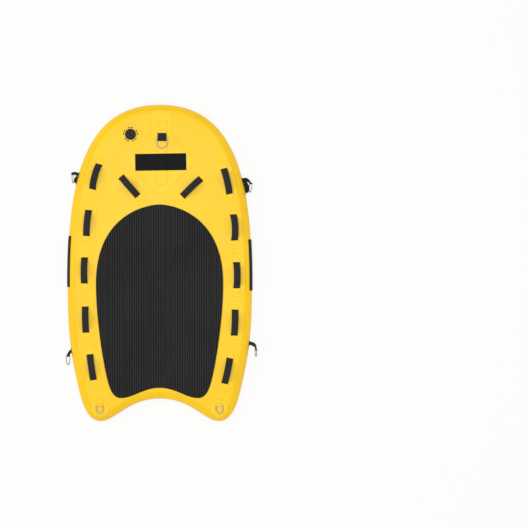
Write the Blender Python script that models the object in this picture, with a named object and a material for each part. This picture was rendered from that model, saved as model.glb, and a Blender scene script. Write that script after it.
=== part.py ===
"""Inflatable rescue sled: a drop-stitch hull with its deck pad, handles, towing rings and inflation valve.

Metres, +Z up. The sled lies on its underside on Z = 0 with the origin below the middle of the hull.
The nose points to +Y, and +X is the starboard side.
"""

from math import acos, atan2, ceil, cos, hypot, pi, radians, sin, sqrt

import bmesh
import bpy
from mathutils import Matrix, Vector
from mathutils.geometry import delaunay_2d_cdt

# Hull outline, seen from above: cubic curves down the starboard side, nose to tail notch
NOSE_Y = 0.9015
NOSE_HANDLE = 0.420
WIDEST = (0.5245, -0.106)
WIDEST_HANDLE_FORE = 0.601
WIDEST_HANDLE_AFT = 0.240
SHOULDER = (0.4620, -0.712)
SHOULDER_LEAN = 0.235
SHOULDER_HANDLE_FORE = 0.240
SHOULDER_HANDLE_AFT = 0.054
TIP = (0.3376, -0.8985)
TIP_HANDLE_OUT = 0.083
TIP_HANDLE_IN = 0.086
NOTCH_Y = -0.7703
NOTCH_HANDLE = 0.1795
CURVE_STEPS = 48
STATION_LENGTH = 0.190
STATION_TURN = radians(17)
STATION_MARGIN = 1e-4
SIDE_SHARE = 0.6
MERGE = 1e-7
SHARP = radians(35)

# Hull wall, from the outside in
GAP = 0.0003
FABRIC = 0.0009
RAIL_RADIUS = 0.050
BAND_OUT = RAIL_RADIUS
BAND_IN = BAND_OUT - FABRIC
SKIN_OUT = BAND_IN - GAP
SKIN_IN = SKIN_OUT - FABRIC
RAIL_STEP = 22.5
FOLD_MARGIN = 0.3
FOLD_HALVINGS = 30
BAND_INSET_NOSE = 0.025
BAND_INSET_SIDE = 0.037
BAND_WIDENING = (0.15, 0.75)
BAND_JOINT_Y = 0.308
EDGE_ROW = 0.5
BAND_FOLD = RAIL_RADIUS - BAND_OUT * cos(radians(3 * RAIL_STEP))
SEAM_ANGLE = 0.2

# Black sheets under the hull
SHEET = 0.0017
SHEET_IN = SKIN_OUT + GAP
SHEET_OVER_BAND = BAND_OUT + 2 * GAP
SHEET_STEP_DOWN = (-80.0, -87.0)
SHEET_JOINT_Y = 0.129
SKID_BORDER_NOSE = 0.009
SKID_BORDER_SIDE = 0.017
SKID_WIDENING = (0.10, 0.60)
TAIL_BORDER_SIDE = 0.043
TAIL_BORDER_TIP = 0.019
TAIL_BORDER_NOTCH = 0.033
TAIL_NARROWING = (0.12, 0.36)
TAIL_WIDENING = (0.40, 0.62)

MID_Z = SHEET_IN + SHEET
DECK_Z = MID_Z + SKIN_OUT
BASE_Z = MID_Z - SKIN_OUT
PATCH_LOW = DECK_Z + GAP
PATCH_TOP = PATCH_LOW + FABRIC

# Drop-stitch core: a thinned-out grid of yarn columns between two woven faces
YARN_PITCH = 0.165
YARN_WIDTH = 0.004
WEAVE = 0.0008
YARN_MARGIN = 0.058
YARN_VALVE_CLEARANCE = 0.045

# Deck pad
PAD_TOP_Y = 0.333
PAD_TOP_HANDLE = 0.070
PAD_HALF_WIDTH = 0.361
PAD_WIDEST_Y = -0.115
PAD_HANDLE_FORE_Y = 0.280
PAD_HANDLE_AFT_Y = -0.300
PAD_SIDE = (0.300, -0.645)
PAD_SIDE_LEAN = (-0.223, -0.975)
PAD_SIDE_HANDLES = (0.120, 0.075)
PAD_LOBE = (0.2185, -0.765)
PAD_LOBE_HANDLES = (0.045, 0.0685)
PAD_FOOT_Y = -0.707
PAD_FOOT_HANDLE = 0.090
PAD_SIDE_CUT = 0.0015
PAD_THICKNESS = 0.005
PAD_PITCH = 0.0135
PAD_GROOVE_WIDTH = 0.003
PAD_GROOVE_DEPTH = 0.002

# Webbing handles: name, centre x and y, tilt of the top end towards the middle in degrees
HANDLES = (
    ("port_1", -0.362, 0.491, -15.0),
    ("port_2", -0.409, 0.228, -5.0),
    ("port_3", -0.426, -0.041, -0.5),
    ("port_4", -0.420, -0.320, 1.5),
    ("port_5", -0.385, -0.590, 8.0),
    ("starboard_1", 0.381, 0.465, 13.0),
    ("starboard_2", 0.422, 0.203, 2.5),
    ("starboard_3", 0.437, -0.068, 0.5),
    ("starboard_4", 0.426, -0.337, -2.0),
    ("starboard_5", 0.384, -0.611, -12.0),
    ("bow_port", -0.171, 0.436, 41.0),
    ("bow_starboard", 0.182, 0.430, -46.0),
)
STRAP_WIDTH = 0.038
WEBBING = 0.0020
HANDLE_FLAT_END = 0.104
HANDLE_RISE_START = 0.0740
HANDLE_RISE_HANDLES = (0.0595, 0.0560)
HANDLE_RISE_STEPS = 20
HANDLE_RISE_KEPT = (0, 3, 6, 10, 14, 20)
HANDLE_HEIGHT = 0.033
HANDLE_LEAN = 0.004
HANDLE_PATCH_WIDTH = 0.094
HANDLE_PATCH_LENGTH = 0.240
HANDLE_PATCH_CORNER = 0.044
SLIT_NEAR = 0.0650
SLIT_FAR = 0.0745
RIDGE_SLOPE = 0.005
RIDGE_LIFT = WEBBING + GAP

# Bow patch with its strip to the nose seam, webbing and plate
BOW_X = 0.010
BOW_PATCH_Y = 0.575
BOW_PATCH_HALF = 0.197
BOW_PATCH_CORNER = 0.012
BOW_STRIP_HALF = 0.0605
BOW_SEAM_GAP = 0.0012
BOW_HEAD_MARGIN = 0.004
BOW_WEBBING_X = 0.014
BOW_WEBBING_WIDTH = 0.050
BOW_WEBBING_FORE_Y = 0.800
BOW_WEBBING_AFT_Y = 0.450
BOW_WINDOW_FORE_Y = 0.739
BOW_WINDOW_AFT_Y = 0.693
BOW_EYE_Y = 0.710

# The webbing's arch over the bow ring's bar: where it leaves the deck and the handle there, as distance from
# the window's edge and rise, then the handle and the end of its top, in reaches from the eye
BOW_ARCH_FORE = ((0.004, 0.0004), (0.012, 0.001), 2.2, 1.0)
BOW_ARCH_AFT = ((0.003, 0.0004), (0.0065, 0.0012), 1.5, 0.6)
BOW_ARCH_LEAD = 0.001
BOW_ARCH_STEPS = 5
PLATE_CENTRE = (0.0065, 0.574)
PLATE_SIZE = (0.290, 0.096)
PLATE_TURN = 0.9
PLATE_THICKNESS = 0.001
PLATE_CREASE_MARGIN = 0.01

# Black panels on the rail: name, side, fore and aft ends
SIDE_PANELS = (("side_panel_port", -1, 0.156, -0.135), ("side_panel_starboard", 1, 0.136, -0.156))
PANEL_REACH = 2
PANEL_THICKNESS = 0.003

# D rings: half width and depth to the wire's centre, wire radius, and how much of the depth is straight
BOW_RING = (0.029, 0.058, 0.0030, 0.48)
TAIL_RING = (0.0197, 0.0440, 0.00275, 0.30)
SIDE_RING = (0.0223, 0.0500, 0.00275, 0.30)
RING_SIDES = 6
RING_BOW_STEPS = 8
RING_CORNER_CUT = 0.3
EYE_CLEARANCE = 0.0003
RING_CORNER = 0.003
BOW_RING_RISE = 0.0070

# Tail ring patches and straps: name, patch centre, ring turn in degrees
TAIL_RINGS = (("port", -0.339, -0.827, 0.0), ("starboard", 0.338, -0.827, 8.0))
TAIL_PATCH_RADIUS = 0.054
TAIL_PATCH_STEPS = 20
TAIL_PATCH_CLEARANCE = 0.0012
TAIL_EYE_AHEAD = 0.018
TAIL_EYE_RISE = 0.0058
TAIL_STRAP_WIDTH = 0.031
TAIL_STRAP_LAYER = 0.0010
TAIL_STRAP_END = 0.058
TAIL_SLIT = (0.0240, 0.0315)
TAIL_BLEND = (0.0385, 0.0450)
TAIL_RING_DROP = 1.6

# Side rings: name, side, root on the rail (y), eye centre, hanging direction, lean of the bar in degrees
SIDE_RINGS = (
    ("fore_port", -1, 0.5030, (-0.4955, 0.5050), (0.07, -1.0, 0.0), 12.0),
    ("fore_starboard", 1, 0.4780, (0.5180, 0.4530), (-0.11, -1.0, 0.0), 20.0),
    ("aft_port", -1, -0.4900, (-0.5225, -0.5280), (0.02, -1.0, 0.0), 23.0),
    ("aft_starboard", 1, -0.4560, (0.5465, -0.4865), (-0.02, -0.86, -0.51), 11.0),
)
TAB_WIDTH = 0.038
TAB_LAYER = 0.0014
TAB_FOOT_HALF = 0.016
TAB_FOOT_THICKNESS = 0.0015
TAB_BEND_OUT = 0.60
TAB_EYE_SIDES = 10
TAB_WRAP_STEPS = 8
TAB_WRAP = radians(140)

# The forward tabs' tails run on as a short loop: name, side, fore and aft ends, height
TAB_LOOPS = {"fore_port": (0.494, 0.450, 0.010), "fore_starboard": (0.468, 0.386, 0.022)}
LOOP_WIDTH = 0.025
LOOP_THICKNESS = 0.0016
LOOP_FOOT = 0.007
LOOP_STEPS = 8
LOOP_FULLNESS = 0.75

# Inflation valve, heights measured from the deck
VALVE_CENTRE = (-0.165, 0.731)
VALVE_PATCH_RADIUS = 0.058
VALVE_HOLE_RADIUS = 0.0213
BARREL_RADIUS = 0.0210
BARREL_BORE = 0.0165
BARREL_DEPTH = 0.038
FLANGE_RADIUS = 0.031
FLANGE_LOW = 0.0028
FLANGE_TOP = 0.0060
FLANGE_BEVEL = 0.0012
NECK_RADIUS = 0.0220
NECK_TOP = 0.0090
WEB_LOW = -0.0120
WEB_TOP = -0.0090
STEM_RADIUS = 0.0021
STEM_CLEARANCE = 0.0003
AIR_HOLE_RADIUS = 0.0035
AIR_HOLE_ORBIT = 0.0095
AIR_HOLES = 4
AIR_HOLE_STEPS = 10
GUIDE_REACH = 0.001
PLUNGER_HEAD_RADIUS = 0.0055
PLUNGER_HEAD_LOW = 0.0010
PLUNGER_HEAD_TOP = 0.0030
PLUNGER_DISC_RADIUS = 0.0195
PLUNGER_DISC_THICKNESS = 0.003
PLUNGER_TAIL = 0.002
PLUNGER_BEVEL = 0.0005
PLUNGER_STEPS = 16
NUT_RADIUS = 0.031
NUT_THICKNESS = 0.007
NUT_BEVEL = 0.002
GASKET_RADIUS = 0.0295
SPRING_RADIUS = 0.0040
SPRING_WIRE = 0.0004
SPRING_TURNS = 4
SPRING_STEPS = 8
SEAL_RADIUS = 0.0193
SEAL_WIRE = 0.0012
SEAL_SIDES = 6
CAP_RADIUS = 0.027
CAP_LOW = 0.0066
CAP_CEILING = 0.0120
CAP_TOP = 0.0165
CAP_BORE = 0.0226
CAP_BEVEL = 0.0015
GRIP_TOP = 0.0205
GRIP_SIZE = (0.042, 0.008)
GRIP_SINK = 0.0015
GRIP_CORNER = 0.45
GRIP_CORNER_STEPS = 2
GRIP_TURN = 12.0
ROUND_STEPS = 24

MATERIALS = {
    "yellow_fabric": ((0.98, 0.64, 0.05), 0.42, 0.0),
    "yellow_band": ((0.96, 0.60, 0.05), 0.45, 0.0),
    "yellow_patch": ((0.98, 0.66, 0.06), 0.40, 0.0),
    "inner_fabric": ((0.82, 0.80, 0.74), 0.80, 0.0),
    "pad_foam": ((0.030, 0.032, 0.036), 0.75, 0.0),
    "skid_sheet": ((0.045, 0.050, 0.060), 0.55, 0.0),
    "base_fabric": ((0.050, 0.052, 0.062), 0.60, 0.0),
    "black_webbing": ((0.030, 0.030, 0.034), 0.70, 0.0),
    "black_plate": ((0.035, 0.035, 0.042), 0.45, 0.0),
    "stainless": ((0.66, 0.62, 0.56), 0.25, 1.0),
    "valve_plastic": ((0.035, 0.036, 0.042), 0.40, 0.0),
    "rubber": ((0.02, 0.02, 0.02), 0.65, 0.0),
}


def clear_scene():
    for item in list(bpy.data.objects):
        bpy.data.objects.remove(item, do_unlink=True)


def make_materials():
    made = {}
    for name, (colour, roughness, metallic) in MATERIALS.items():
        material = bpy.data.materials.new(name)
        material.use_nodes = True
        shader = material.node_tree.nodes["Principled BSDF"]
        shader.inputs["Base Color"].default_value = (*colour, 1.0)
        shader.inputs["Roughness"].default_value = roughness
        shader.inputs["Metallic"].default_value = metallic
        made[name] = material
    return made


def closed_object(name, points, faces, origin):
    """One closed body from points in the sled's frame, with its object's origin at the given place."""
    mesh = bpy.data.meshes.new(name)
    shift = Vector(origin)
    mesh.from_pydata([Vector(p) - shift for p in points], [], faces)
    body = bmesh.new()
    body.from_mesh(mesh)
    bmesh.ops.remove_doubles(body, verts=body.verts, dist=MERGE)
    bmesh.ops.recalc_face_normals(body, faces=body.faces)
    body.to_mesh(mesh)
    body.free()
    item = bpy.data.objects.new(name, mesh)
    item.location = shift
    bpy.context.scene.collection.objects.link(item)
    return item


def add_mesh(name, points, faces, material, origin=(0.0, 0.0, 0.0)):
    """A piece of the sled."""
    item = closed_object(name, points, faces, origin)
    item.data.materials.append(material)
    item.data.shade_smooth()
    item.data.set_sharp_from_angle(angle=SHARP)
    return item


def set_aside(item):
    """Marks an object that only serves a Boolean."""
    item.hide_render = True
    item.display_type = "WIRE"


def cutter(name, points, faces):
    """A guide body for a Boolean, which isn't part of the sled."""
    item = closed_object(name, points, faces, (0.0, 0.0, 0.0))
    set_aside(item)
    return item


def boolean(item, other, operation):
    modifier = item.modifiers.new(operation.lower(), "BOOLEAN")
    modifier.operation = operation
    modifier.solver = "EXACT"
    modifier.object = other


def bezier(start, leave, arrive, end, steps=CURVE_STEPS):
    points = []
    for i in range(steps + 1):
        t = i / steps
        weights = ((1 - t) ** 3, 3 * (1 - t) ** 2 * t, 3 * (1 - t) * t * t, t**3)
        corners = list(zip(weights, (start, leave, arrive, end)))
        points.append(tuple(sum(w * p[k] for w, p in corners) for k in range(len(start))))
    return points


def starboard_curve():
    """Dense points of the starboard outline from the nose round the tip to the middle of the tail notch."""
    lean = Vector((-sin(SHOULDER_LEAN), -cos(SHOULDER_LEAN)))
    widest, shoulder, tip, up = Vector(WIDEST), Vector(SHOULDER), Vector(TIP), Vector((0.0, 1.0))
    curves = (
        ((0.0, NOSE_Y), (NOSE_HANDLE, NOSE_Y), widest + up * WIDEST_HANDLE_FORE, widest),
        (widest, widest - up * WIDEST_HANDLE_AFT, shoulder - lean * SHOULDER_HANDLE_FORE, shoulder),
        (shoulder, shoulder + lean * SHOULDER_HANDLE_AFT, (TIP[0] + TIP_HANDLE_OUT, TIP[1]), tip),
        (tip, (TIP[0] - TIP_HANDLE_IN, TIP[1]), (NOTCH_HANDLE, NOTCH_Y), (0.0, NOTCH_Y)),
    )
    points = []
    for curve in curves:
        points += bezier(*curve)[1 if points else 0 :]
    return points


class Outline:
    """The hull's outline as a counter-clockwise loop that starts in the tail notch, and its rail stations.

    Between stations the rail is straight, so that every layer and fitting lies on the same facets.
    """

    def __init__(self):
        starboard = starboard_curve()[::-1]
        port = [(-x, y) for x, y in starboard_curve()][1:]
        self.points = [Vector(p) for p in starboard + port]
        self.lengths = [0.0]
        for a, b in zip(self.points, self.points[1:]):
            self.lengths.append(self.lengths[-1] + (b - a).length)
        self.total = self.lengths[-1]
        self.stations = self.place_stations()
        self.frames = [self.exact_frame(s) for s in self.stations]

    def exact_frame(self, s):
        """Centre of the rail's round and outward direction at a distance round the outline."""
        i = max(1, min(len(self.lengths) - 1, next((k for k, v in enumerate(self.lengths) if v >= s), 1)))
        low, high = self.lengths[i - 1], self.lengths[i]
        point = self.points[i - 1].lerp(self.points[i], (s - low) / (high - low))
        tangent = self.smooth_tangent(i, s)
        outward = Vector((tangent.y, -tangent.x))
        return point - outward * RAIL_RADIUS, outward

    def smooth_tangent(self, i, s):
        last = len(self.points) - 1
        before = self.points[i - 2] if i > 1 else self.points[last - 1]
        after = self.points[i + 1] if i < last else self.points[1]
        first = (self.points[i] - before).normalized()
        second = (after - self.points[i - 1]).normalized()
        share = (s - self.lengths[i - 1]) / (self.lengths[i] - self.lengths[i - 1])
        return first.lerp(second, share).normalized()

    def place_stations(self):
        """Stations closer together where the outline turns, the same on both sides."""
        weight = [0.0]
        middle = len(self.points) // 2
        for i in range(1, middle + 1):
            a, b = self.points[i - 1], self.points[i]
            before = self.points[i - 2] if i > 1 else a - (b - a)
            turn = abs((b - a).angle_signed(a - before, 0.0))
            weight.append(weight[-1] + (b - a).length / STATION_LENGTH + turn / STATION_TURN)
        count = ceil(weight[-1])
        half = []
        for k in range(count + 1):
            goal = weight[-1] * k / count
            i = max(1, next((j for j, w in enumerate(weight) if w >= goal - 1e-12), middle))
            share = (goal - weight[i - 1]) / max(weight[i] - weight[i - 1], 1e-12)
            half.append(self.lengths[i - 1] + share * (self.lengths[i] - self.lengths[i - 1]))
        return half + [self.total - s for s in half[-2::-1]]

    def at_y(self, side, y):
        """Distance round the outline of a point on one side's rail, forward of the shoulder."""
        nose = len(self.points) // 2
        rows = range(1, nose + 1) if side > 0 else range(nose + 1, len(self.points))
        for i in rows:
            a, b = self.points[i - 1], self.points[i]
            on_side = min(abs(a.x), abs(b.x)) > WIDEST[0] * SIDE_SHARE
            if on_side and (a.y - y) * (b.y - y) <= 0 and a.y != b.y:
                share = (y - a.y) / (b.y - a.y)
                return self.lengths[i - 1] + share * (self.lengths[i] - self.lengths[i - 1])
        raise ValueError(f"no rail at y {y}")

    def frame(self, s):
        """Frame on the straight run between the two stations around s."""
        for i in range(1, len(self.stations)):
            if s <= self.stations[i] + 1e-9:
                share = (s - self.stations[i - 1]) / (self.stations[i] - self.stations[i - 1])
                (c0, n0), (c1, n1) = self.frames[i - 1], self.frames[i]
                return c0.lerp(c1, share), n0.lerp(n1, share)
        return self.frames[-1]

    def run(self, start, end):
        """Start, the stations between, and end, going round counter-clockwise, past the notch if need be."""
        if end > start:
            between = [s for s in self.stations if start + STATION_MARGIN < s < end - STATION_MARGIN]
            return [start] + between + [end]
        return self.run(start, self.total) + self.run(0.0, end)[1:]

    def folded_run(self, start, end, edge):
        """A run with a station more wherever the edge angle crosses one of the rail's folds."""
        stations = self.run(start, end)
        found = []
        for a, b in zip(stations, stations[1:]):
            found.append(a)
            low, high = sorted((edge(a), edge(b)))
            for fold in (k * RAIL_STEP for k in range(-4, 5)):
                if b > a and low + FOLD_MARGIN < fold < high - FOLD_MARGIN:
                    near, far = a, b
                    for _ in range(FOLD_HALVINGS):
                        middle = (near + far) / 2
                        if (edge(middle) > fold) == (edge(a) > fold):
                            near = middle
                        else:
                            far = middle
                    found.append((near + far) / 2)
        return found + stations[-1:]

    def folds_near(self, x, y, reach, insets):
        """Lines along the rail at the given insets and across it at each station, round a point."""
        near = [(c, n) for c, n in self.frames if (c - Vector((x, y))).length < reach]
        along = [[tuple(c + n * (RAIL_RADIUS - inset)) for c, n in near] for inset in insets]
        return along + [[tuple(c), tuple(c + n * RAIL_RADIUS)] for c, n in near]

    def inset(self, x, y):
        """Distance of a point on deck from the faceted outline."""
        point, best = Vector((x, y)), 9.9
        edge = [c + n * RAIL_RADIUS for c, n in self.frames]
        for a, b in zip(edge, edge[1:]):
            run = b - a
            share = max(0.0, min(1.0, (point - a).dot(run) / run.length_squared))
            best = min(best, (a + run * share - point).length)
        return best


def round_direction(angle):
    """Outward and upward parts of an angle round the rail in degrees, on the rail's flats."""
    low = RAIL_STEP * (angle // RAIL_STEP)
    share = (angle - low) / RAIL_STEP
    a, b = radians(low), radians(low + RAIL_STEP)
    return cos(a) + (cos(b) - cos(a)) * share, sin(a) + (sin(b) - sin(a)) * share


def rail_point(outline, s, angle, radius):
    centre, outward = outline.frame(s)
    out, up = round_direction(angle)
    plan = centre + outward * radius * out
    return Vector((plan.x, plan.y, MID_Z + radius * up))


def round_height(out, radius):
    """Height above mid rail of the rail's flats at a distance out from the middle of its round."""
    for k in range(int(90 / RAIL_STEP)):
        a, b = radians(RAIL_STEP * k), radians(RAIL_STEP * (k + 1))
        if out >= radius * cos(b):
            share = (radius * cos(a) - out) / (radius * (cos(a) - cos(b)))
            return radius * (sin(a) + (sin(b) - sin(a)) * share)
    return radius


def inset_angle(inset):
    return acos((RAIL_RADIUS - inset) / RAIL_RADIUS) * 180 / pi


def ease(value, low, high):
    t = max(0.0, min(1.0, (value - low) / (high - low)))
    return t * t * (3 - 2 * t)


def shell(name, outline, run, closed, angles, outer, inner, material):
    """A skin or sheet: rows down the rail's round, joined across the flat. angles start at the free edge."""
    rows = [angles(s) for s in run]
    count, depth = len(run), len(rows[0])
    points = []
    for radius in (outer, inner):
        for s, row in zip(run, rows):
            points += [rail_point(outline, s, angle, radius(angle)) for angle in row]

    def at(layer, i, k):
        return layer * count * depth + (i % count) * depth + k

    faces = []
    for i in range(count if closed else count - 1):
        for k in range(depth - 1):
            for layer in (0, 1):
                corners = ((i, k), (i + 1, k), (i + 1, k + 1), (i, k + 1))
                faces.append(tuple(at(layer, *corner) for corner in corners))
        faces.append((at(0, i, 0), at(0, i + 1, 0), at(1, i + 1, 0), at(1, i, 0)))
    if not closed:
        for i in (0, count - 1):
            for k in range(depth - 1):
                faces.append((at(0, i, k), at(0, i, k + 1), at(1, i, k + 1), at(1, i, k)))
        last = depth - 1
        faces.append((at(0, 0, last), at(0, count - 1, last), at(1, count - 1, last), at(1, 0, last)))
    for layer in (0, 1):
        faces.append(tuple(at(layer, i, depth - 1) for i in range(count)))
    return add_mesh(name, points, faces, material)


def sweep(name, sections, material, closed=False, origin=(0.0, 0.0, 0.0)):
    """A body through closed sections that have the same number of points."""
    count, width = len(sections), len(sections[0])
    points = [p for section in sections for p in section]
    faces = []
    for i in range(count if closed else count - 1):
        j = (i + 1) % count
        for k in range(width):
            n = (k + 1) % width
            faces.append((i * width + k, i * width + n, j * width + n, j * width + k))
    if not closed:
        faces.append(tuple(range(width)))
        faces.append(tuple((count - 1) * width + k for k in range(width)))
    return add_mesh(name, points, faces, material, origin)


def rail_shell(name, outline, run, angles, outer, inner, material):
    """A strip that lies along the rail, with its section given by angles(s)."""
    sections = []
    for s in run:
        row = angles(s)
        sections.append(
            [rail_point(outline, s, angle, outer) for angle in row]
            + [rail_point(outline, s, angle, inner) for angle in reversed(row)]
        )
    return sweep(name, sections, material)


def inside(point, loop):
    hit = False
    for a, b in zip(loop, loop[1:] + loop[:1]):
        if (a[1] > point[1]) != (b[1] > point[1]):
            if point[0] < a[0] + (point[1] - a[1]) / (b[1] - a[1]) * (b[0] - a[0]):
                hit = not hit
    return hit


def slab(name, loops, lower, upper, material, creases=(), origin=(0.0, 0.0, 0.0)):
    """A sheet or plate. loops are its outline and its holes, creases are lines that it folds along, and
    lower and upper turn a point of the outline's plane into a point of each face."""
    flat, edges = [], []
    for loop in loops:
        first = len(flat)
        flat += [Vector(p) for p in loop]
        edges += [(first + i, first + (i + 1) % len(loop)) for i in range(len(loop))]
    for crease in creases:
        first = len(flat)
        flat += [Vector(p) for p in crease]
        edges += [(first + i, first + i + 1) for i in range(len(crease) - 1)]
    found = delaunay_2d_cdt(flat, edges, [], 0, 1e-6)
    plan, triangles = found[0], []
    for face in found[2]:
        middle = sum((plan[i] for i in face), Vector((0.0, 0.0))) / len(face)
        if inside(middle, loops[0]) and not any(inside(middle, hole) for hole in loops[1:]):
            triangles.append(tuple(face))
    count = len(plan)
    points = [lower(p) for p in plan] + [upper(p) for p in plan]
    faces = [tri[::-1] for tri in triangles] + [tuple(i + count for i in tri) for tri in triangles]
    sides = {}
    for tri in triangles:
        for a, b in zip(tri, tri[1:] + tri[:1]):
            sides[(a, b)] = sides.get((a, b), 0) + 1
    for a, b in sides:
        if (b, a) not in sides:
            faces.append((a, b, b + count, a + count))
    used = sorted({i for face in faces for i in face})
    place = {old: new for new, old in enumerate(used)}
    return add_mesh(
        name, [points[i] for i in used], [tuple(place[i] for i in face) for face in faces], material, origin
    )


def turned_faces(profile, centre, steps):
    """Points and faces of a closed profile of (radius, height above deck) turned round an upright axis."""
    points, faces, width = [], [], len(profile)
    for i in range(steps):
        a = 2 * pi * i / steps
        points += [(centre[0] + r * cos(a), centre[1] + r * sin(a), DECK_Z + h) for r, h in profile]
    for i in range(steps):
        j = (i + 1) % steps
        for k in range(width):
            n = (k + 1) % width
            if profile[k][0] > 0 or profile[n][0] > 0:
                corners = [i * width + k, i * width + n, j * width + n, j * width + k]
                if profile[k][0] == 0:
                    corners = corners[:3]
                elif profile[n][0] == 0:
                    corners = [corners[0], corners[1], corners[3]]
                faces.append(tuple(corners))
    return points, faces


def turned(name, profile, centre, material, steps=ROUND_STEPS):
    points, faces = turned_faces(profile, centre, steps)
    return add_mesh(name, points, faces, material, (centre[0], centre[1], DECK_Z))


def circle(centre, radius, steps):
    turns = [2 * pi * i / steps for i in range(steps)]
    return [(centre[0] + radius * cos(a), centre[1] + radius * sin(a)) for a in turns]


def rounded_rectangle(width, length, corner, steps=3):
    """Outline round the origin, long along y."""
    points = []
    for k, (sx, sy) in enumerate(((1, 1), (-1, 1), (-1, -1), (1, -1))):
        for i in range(steps + 1):
            a = pi / 2 * (k + i / steps)
            points.append(
                (sx * (width / 2 - corner) + corner * cos(a), sy * (length / 2 - corner) + corner * sin(a))
            )
    return points


def level(z):
    return lambda p: (p[0], p[1], z)


# Hull


def half_turns(sign, start):
    """Angles from near the middle of the rail to the flat of the deck or base."""
    count = int(90 / RAIL_STEP)
    return [sign * start] + [sign * RAIL_STEP * k for k in range(1, count + 1)]


def build_skins(outline, materials):
    run = outline.stations[:-1]
    deck = shell(
        "deck_skin", outline, run, True, lambda s: half_turns(1, SEAM_ANGLE),
        lambda a: SKIN_OUT, lambda a: SKIN_IN, materials["yellow_fabric"],
    )
    high, low = GUIDE_REACH, -FABRIC - GUIDE_REACH
    rod = [(0.0, low), (VALVE_HOLE_RADIUS, low), (VALVE_HOLE_RADIUS, high), (0.0, high)]
    points, faces = turned_faces(rod, VALVE_CENTRE, ROUND_STEPS)
    boolean(deck, cutter("valve_hole_guide", points, faces), "DIFFERENCE")
    shell(
        "base_skin", outline, run, True, lambda s: half_turns(-1, SEAM_ANGLE),
        lambda a: SKIN_OUT, lambda a: SKIN_IN, materials["yellow_fabric"],
    )


def build_rail_bands(outline, materials):
    nose = outline.total / 2
    foot = inset_angle(BAND_INSET_SIDE)

    def edge(s):
        share = ease(abs(s - nose), *BAND_WIDENING)
        return inset_angle(BAND_INSET_NOSE + (BAND_INSET_SIDE - BAND_INSET_NOSE) * share)

    def angles(s):
        middle = [RAIL_STEP * k for k in range(-3, 3)]
        return [-foot, *middle, min(3 * RAIL_STEP, edge(s) - EDGE_ROW), edge(s)]

    joint = outline.at_y(1, BAND_JOINT_Y)
    half_gap = GAP / 2
    for name, start, end in (
        ("rail_band_starboard", half_gap, joint - half_gap),
        ("rail_band_port", joint + half_gap, outline.total - half_gap),
    ):
        run = outline.folded_run(start, end, edge)
        rail_shell(name, outline, run, angles, BAND_OUT, BAND_IN, materials["yellow_band"])


def build_core(outline, materials):
    """Square yarn columns wherever the hull is flat and clear of the valve. A strip of each woven face joins
    every column to its neighbours, so each cell of a grid is a column, a strip or empty."""
    columns, rows = int(WIDEST[0] / YARN_PITCH), int(NOSE_Y / YARN_PITCH)
    loop = [tuple(c + n * RAIL_RADIUS) for c, n in outline.frames[:-1]]
    low, high = MID_Z - SKIN_IN + GAP, MID_Z + SKIN_IN - GAP
    heights = (low, low + WEAVE, high - WEAVE, high)

    def edge(index):
        return (index // 2) * YARN_PITCH + (YARN_WIDTH / 2 if index % 2 else -YARN_WIDTH / 2)

    standing = set()
    for i in range(-columns, columns + 1):
        for j in range(-rows, rows + 1):
            x, y = i * YARN_PITCH, j * YARN_PITCH
            clear = hypot(x - VALVE_CENTRE[0], y - VALVE_CENTRE[1]) > YARN_VALVE_CLEARANCE
            if clear and inside((x, y), loop) and outline.inset(x, y) > YARN_MARGIN:
                standing.add((i, j))
    cells = set()
    for i, j in standing:
        cells |= {(2 * i, 2 * j, k) for k in range(3)}
        if (i + 1, j) in standing:
            cells |= {(2 * i + 1, 2 * j, 0), (2 * i + 1, 2 * j, 2)}
        if (i, j + 1) in standing:
            cells |= {(2 * i, 2 * j + 1, 0), (2 * i, 2 * j + 1, 2)}
    places, faces = {}, []
    for cell in sorted(cells):
        for axis in range(3):
            for step in (0, 1):
                beyond = tuple(c + (2 * step - 1 if k == axis else 0) for k, c in enumerate(cell))
                if beyond in cells:
                    continue
                u, v = [k for k in range(3) if k != axis]
                corners = []
                for du, dv in ((0, 0), (1, 0), (1, 1), (0, 1)):
                    corner = list(cell)
                    corner[axis] += step
                    corner[u] += du
                    corner[v] += dv
                    corners.append(places.setdefault(tuple(corner), len(places)))
                faces.append(tuple(corners))
    points = [(edge(i), edge(j), heights[k]) for i, j, k in places]
    add_mesh("drop_stitch_core", points, faces, materials["inner_fabric"])


def sheet_inner(angle):
    """Inner radius of a sheet under the hull: over the rail band, then down onto the base skin."""
    share = ease(angle, *SHEET_STEP_DOWN)
    return SHEET_OVER_BAND + (SHEET_IN - SHEET_OVER_BAND) * share


def sheet_angles(edge):
    rows = (-2 * RAIL_STEP, -3 * RAIL_STEP, *SHEET_STEP_DOWN)
    return [edge] + [min(angle, edge - EDGE_ROW * (k + 1)) for k, angle in enumerate(rows)] + [-90.0]


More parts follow.
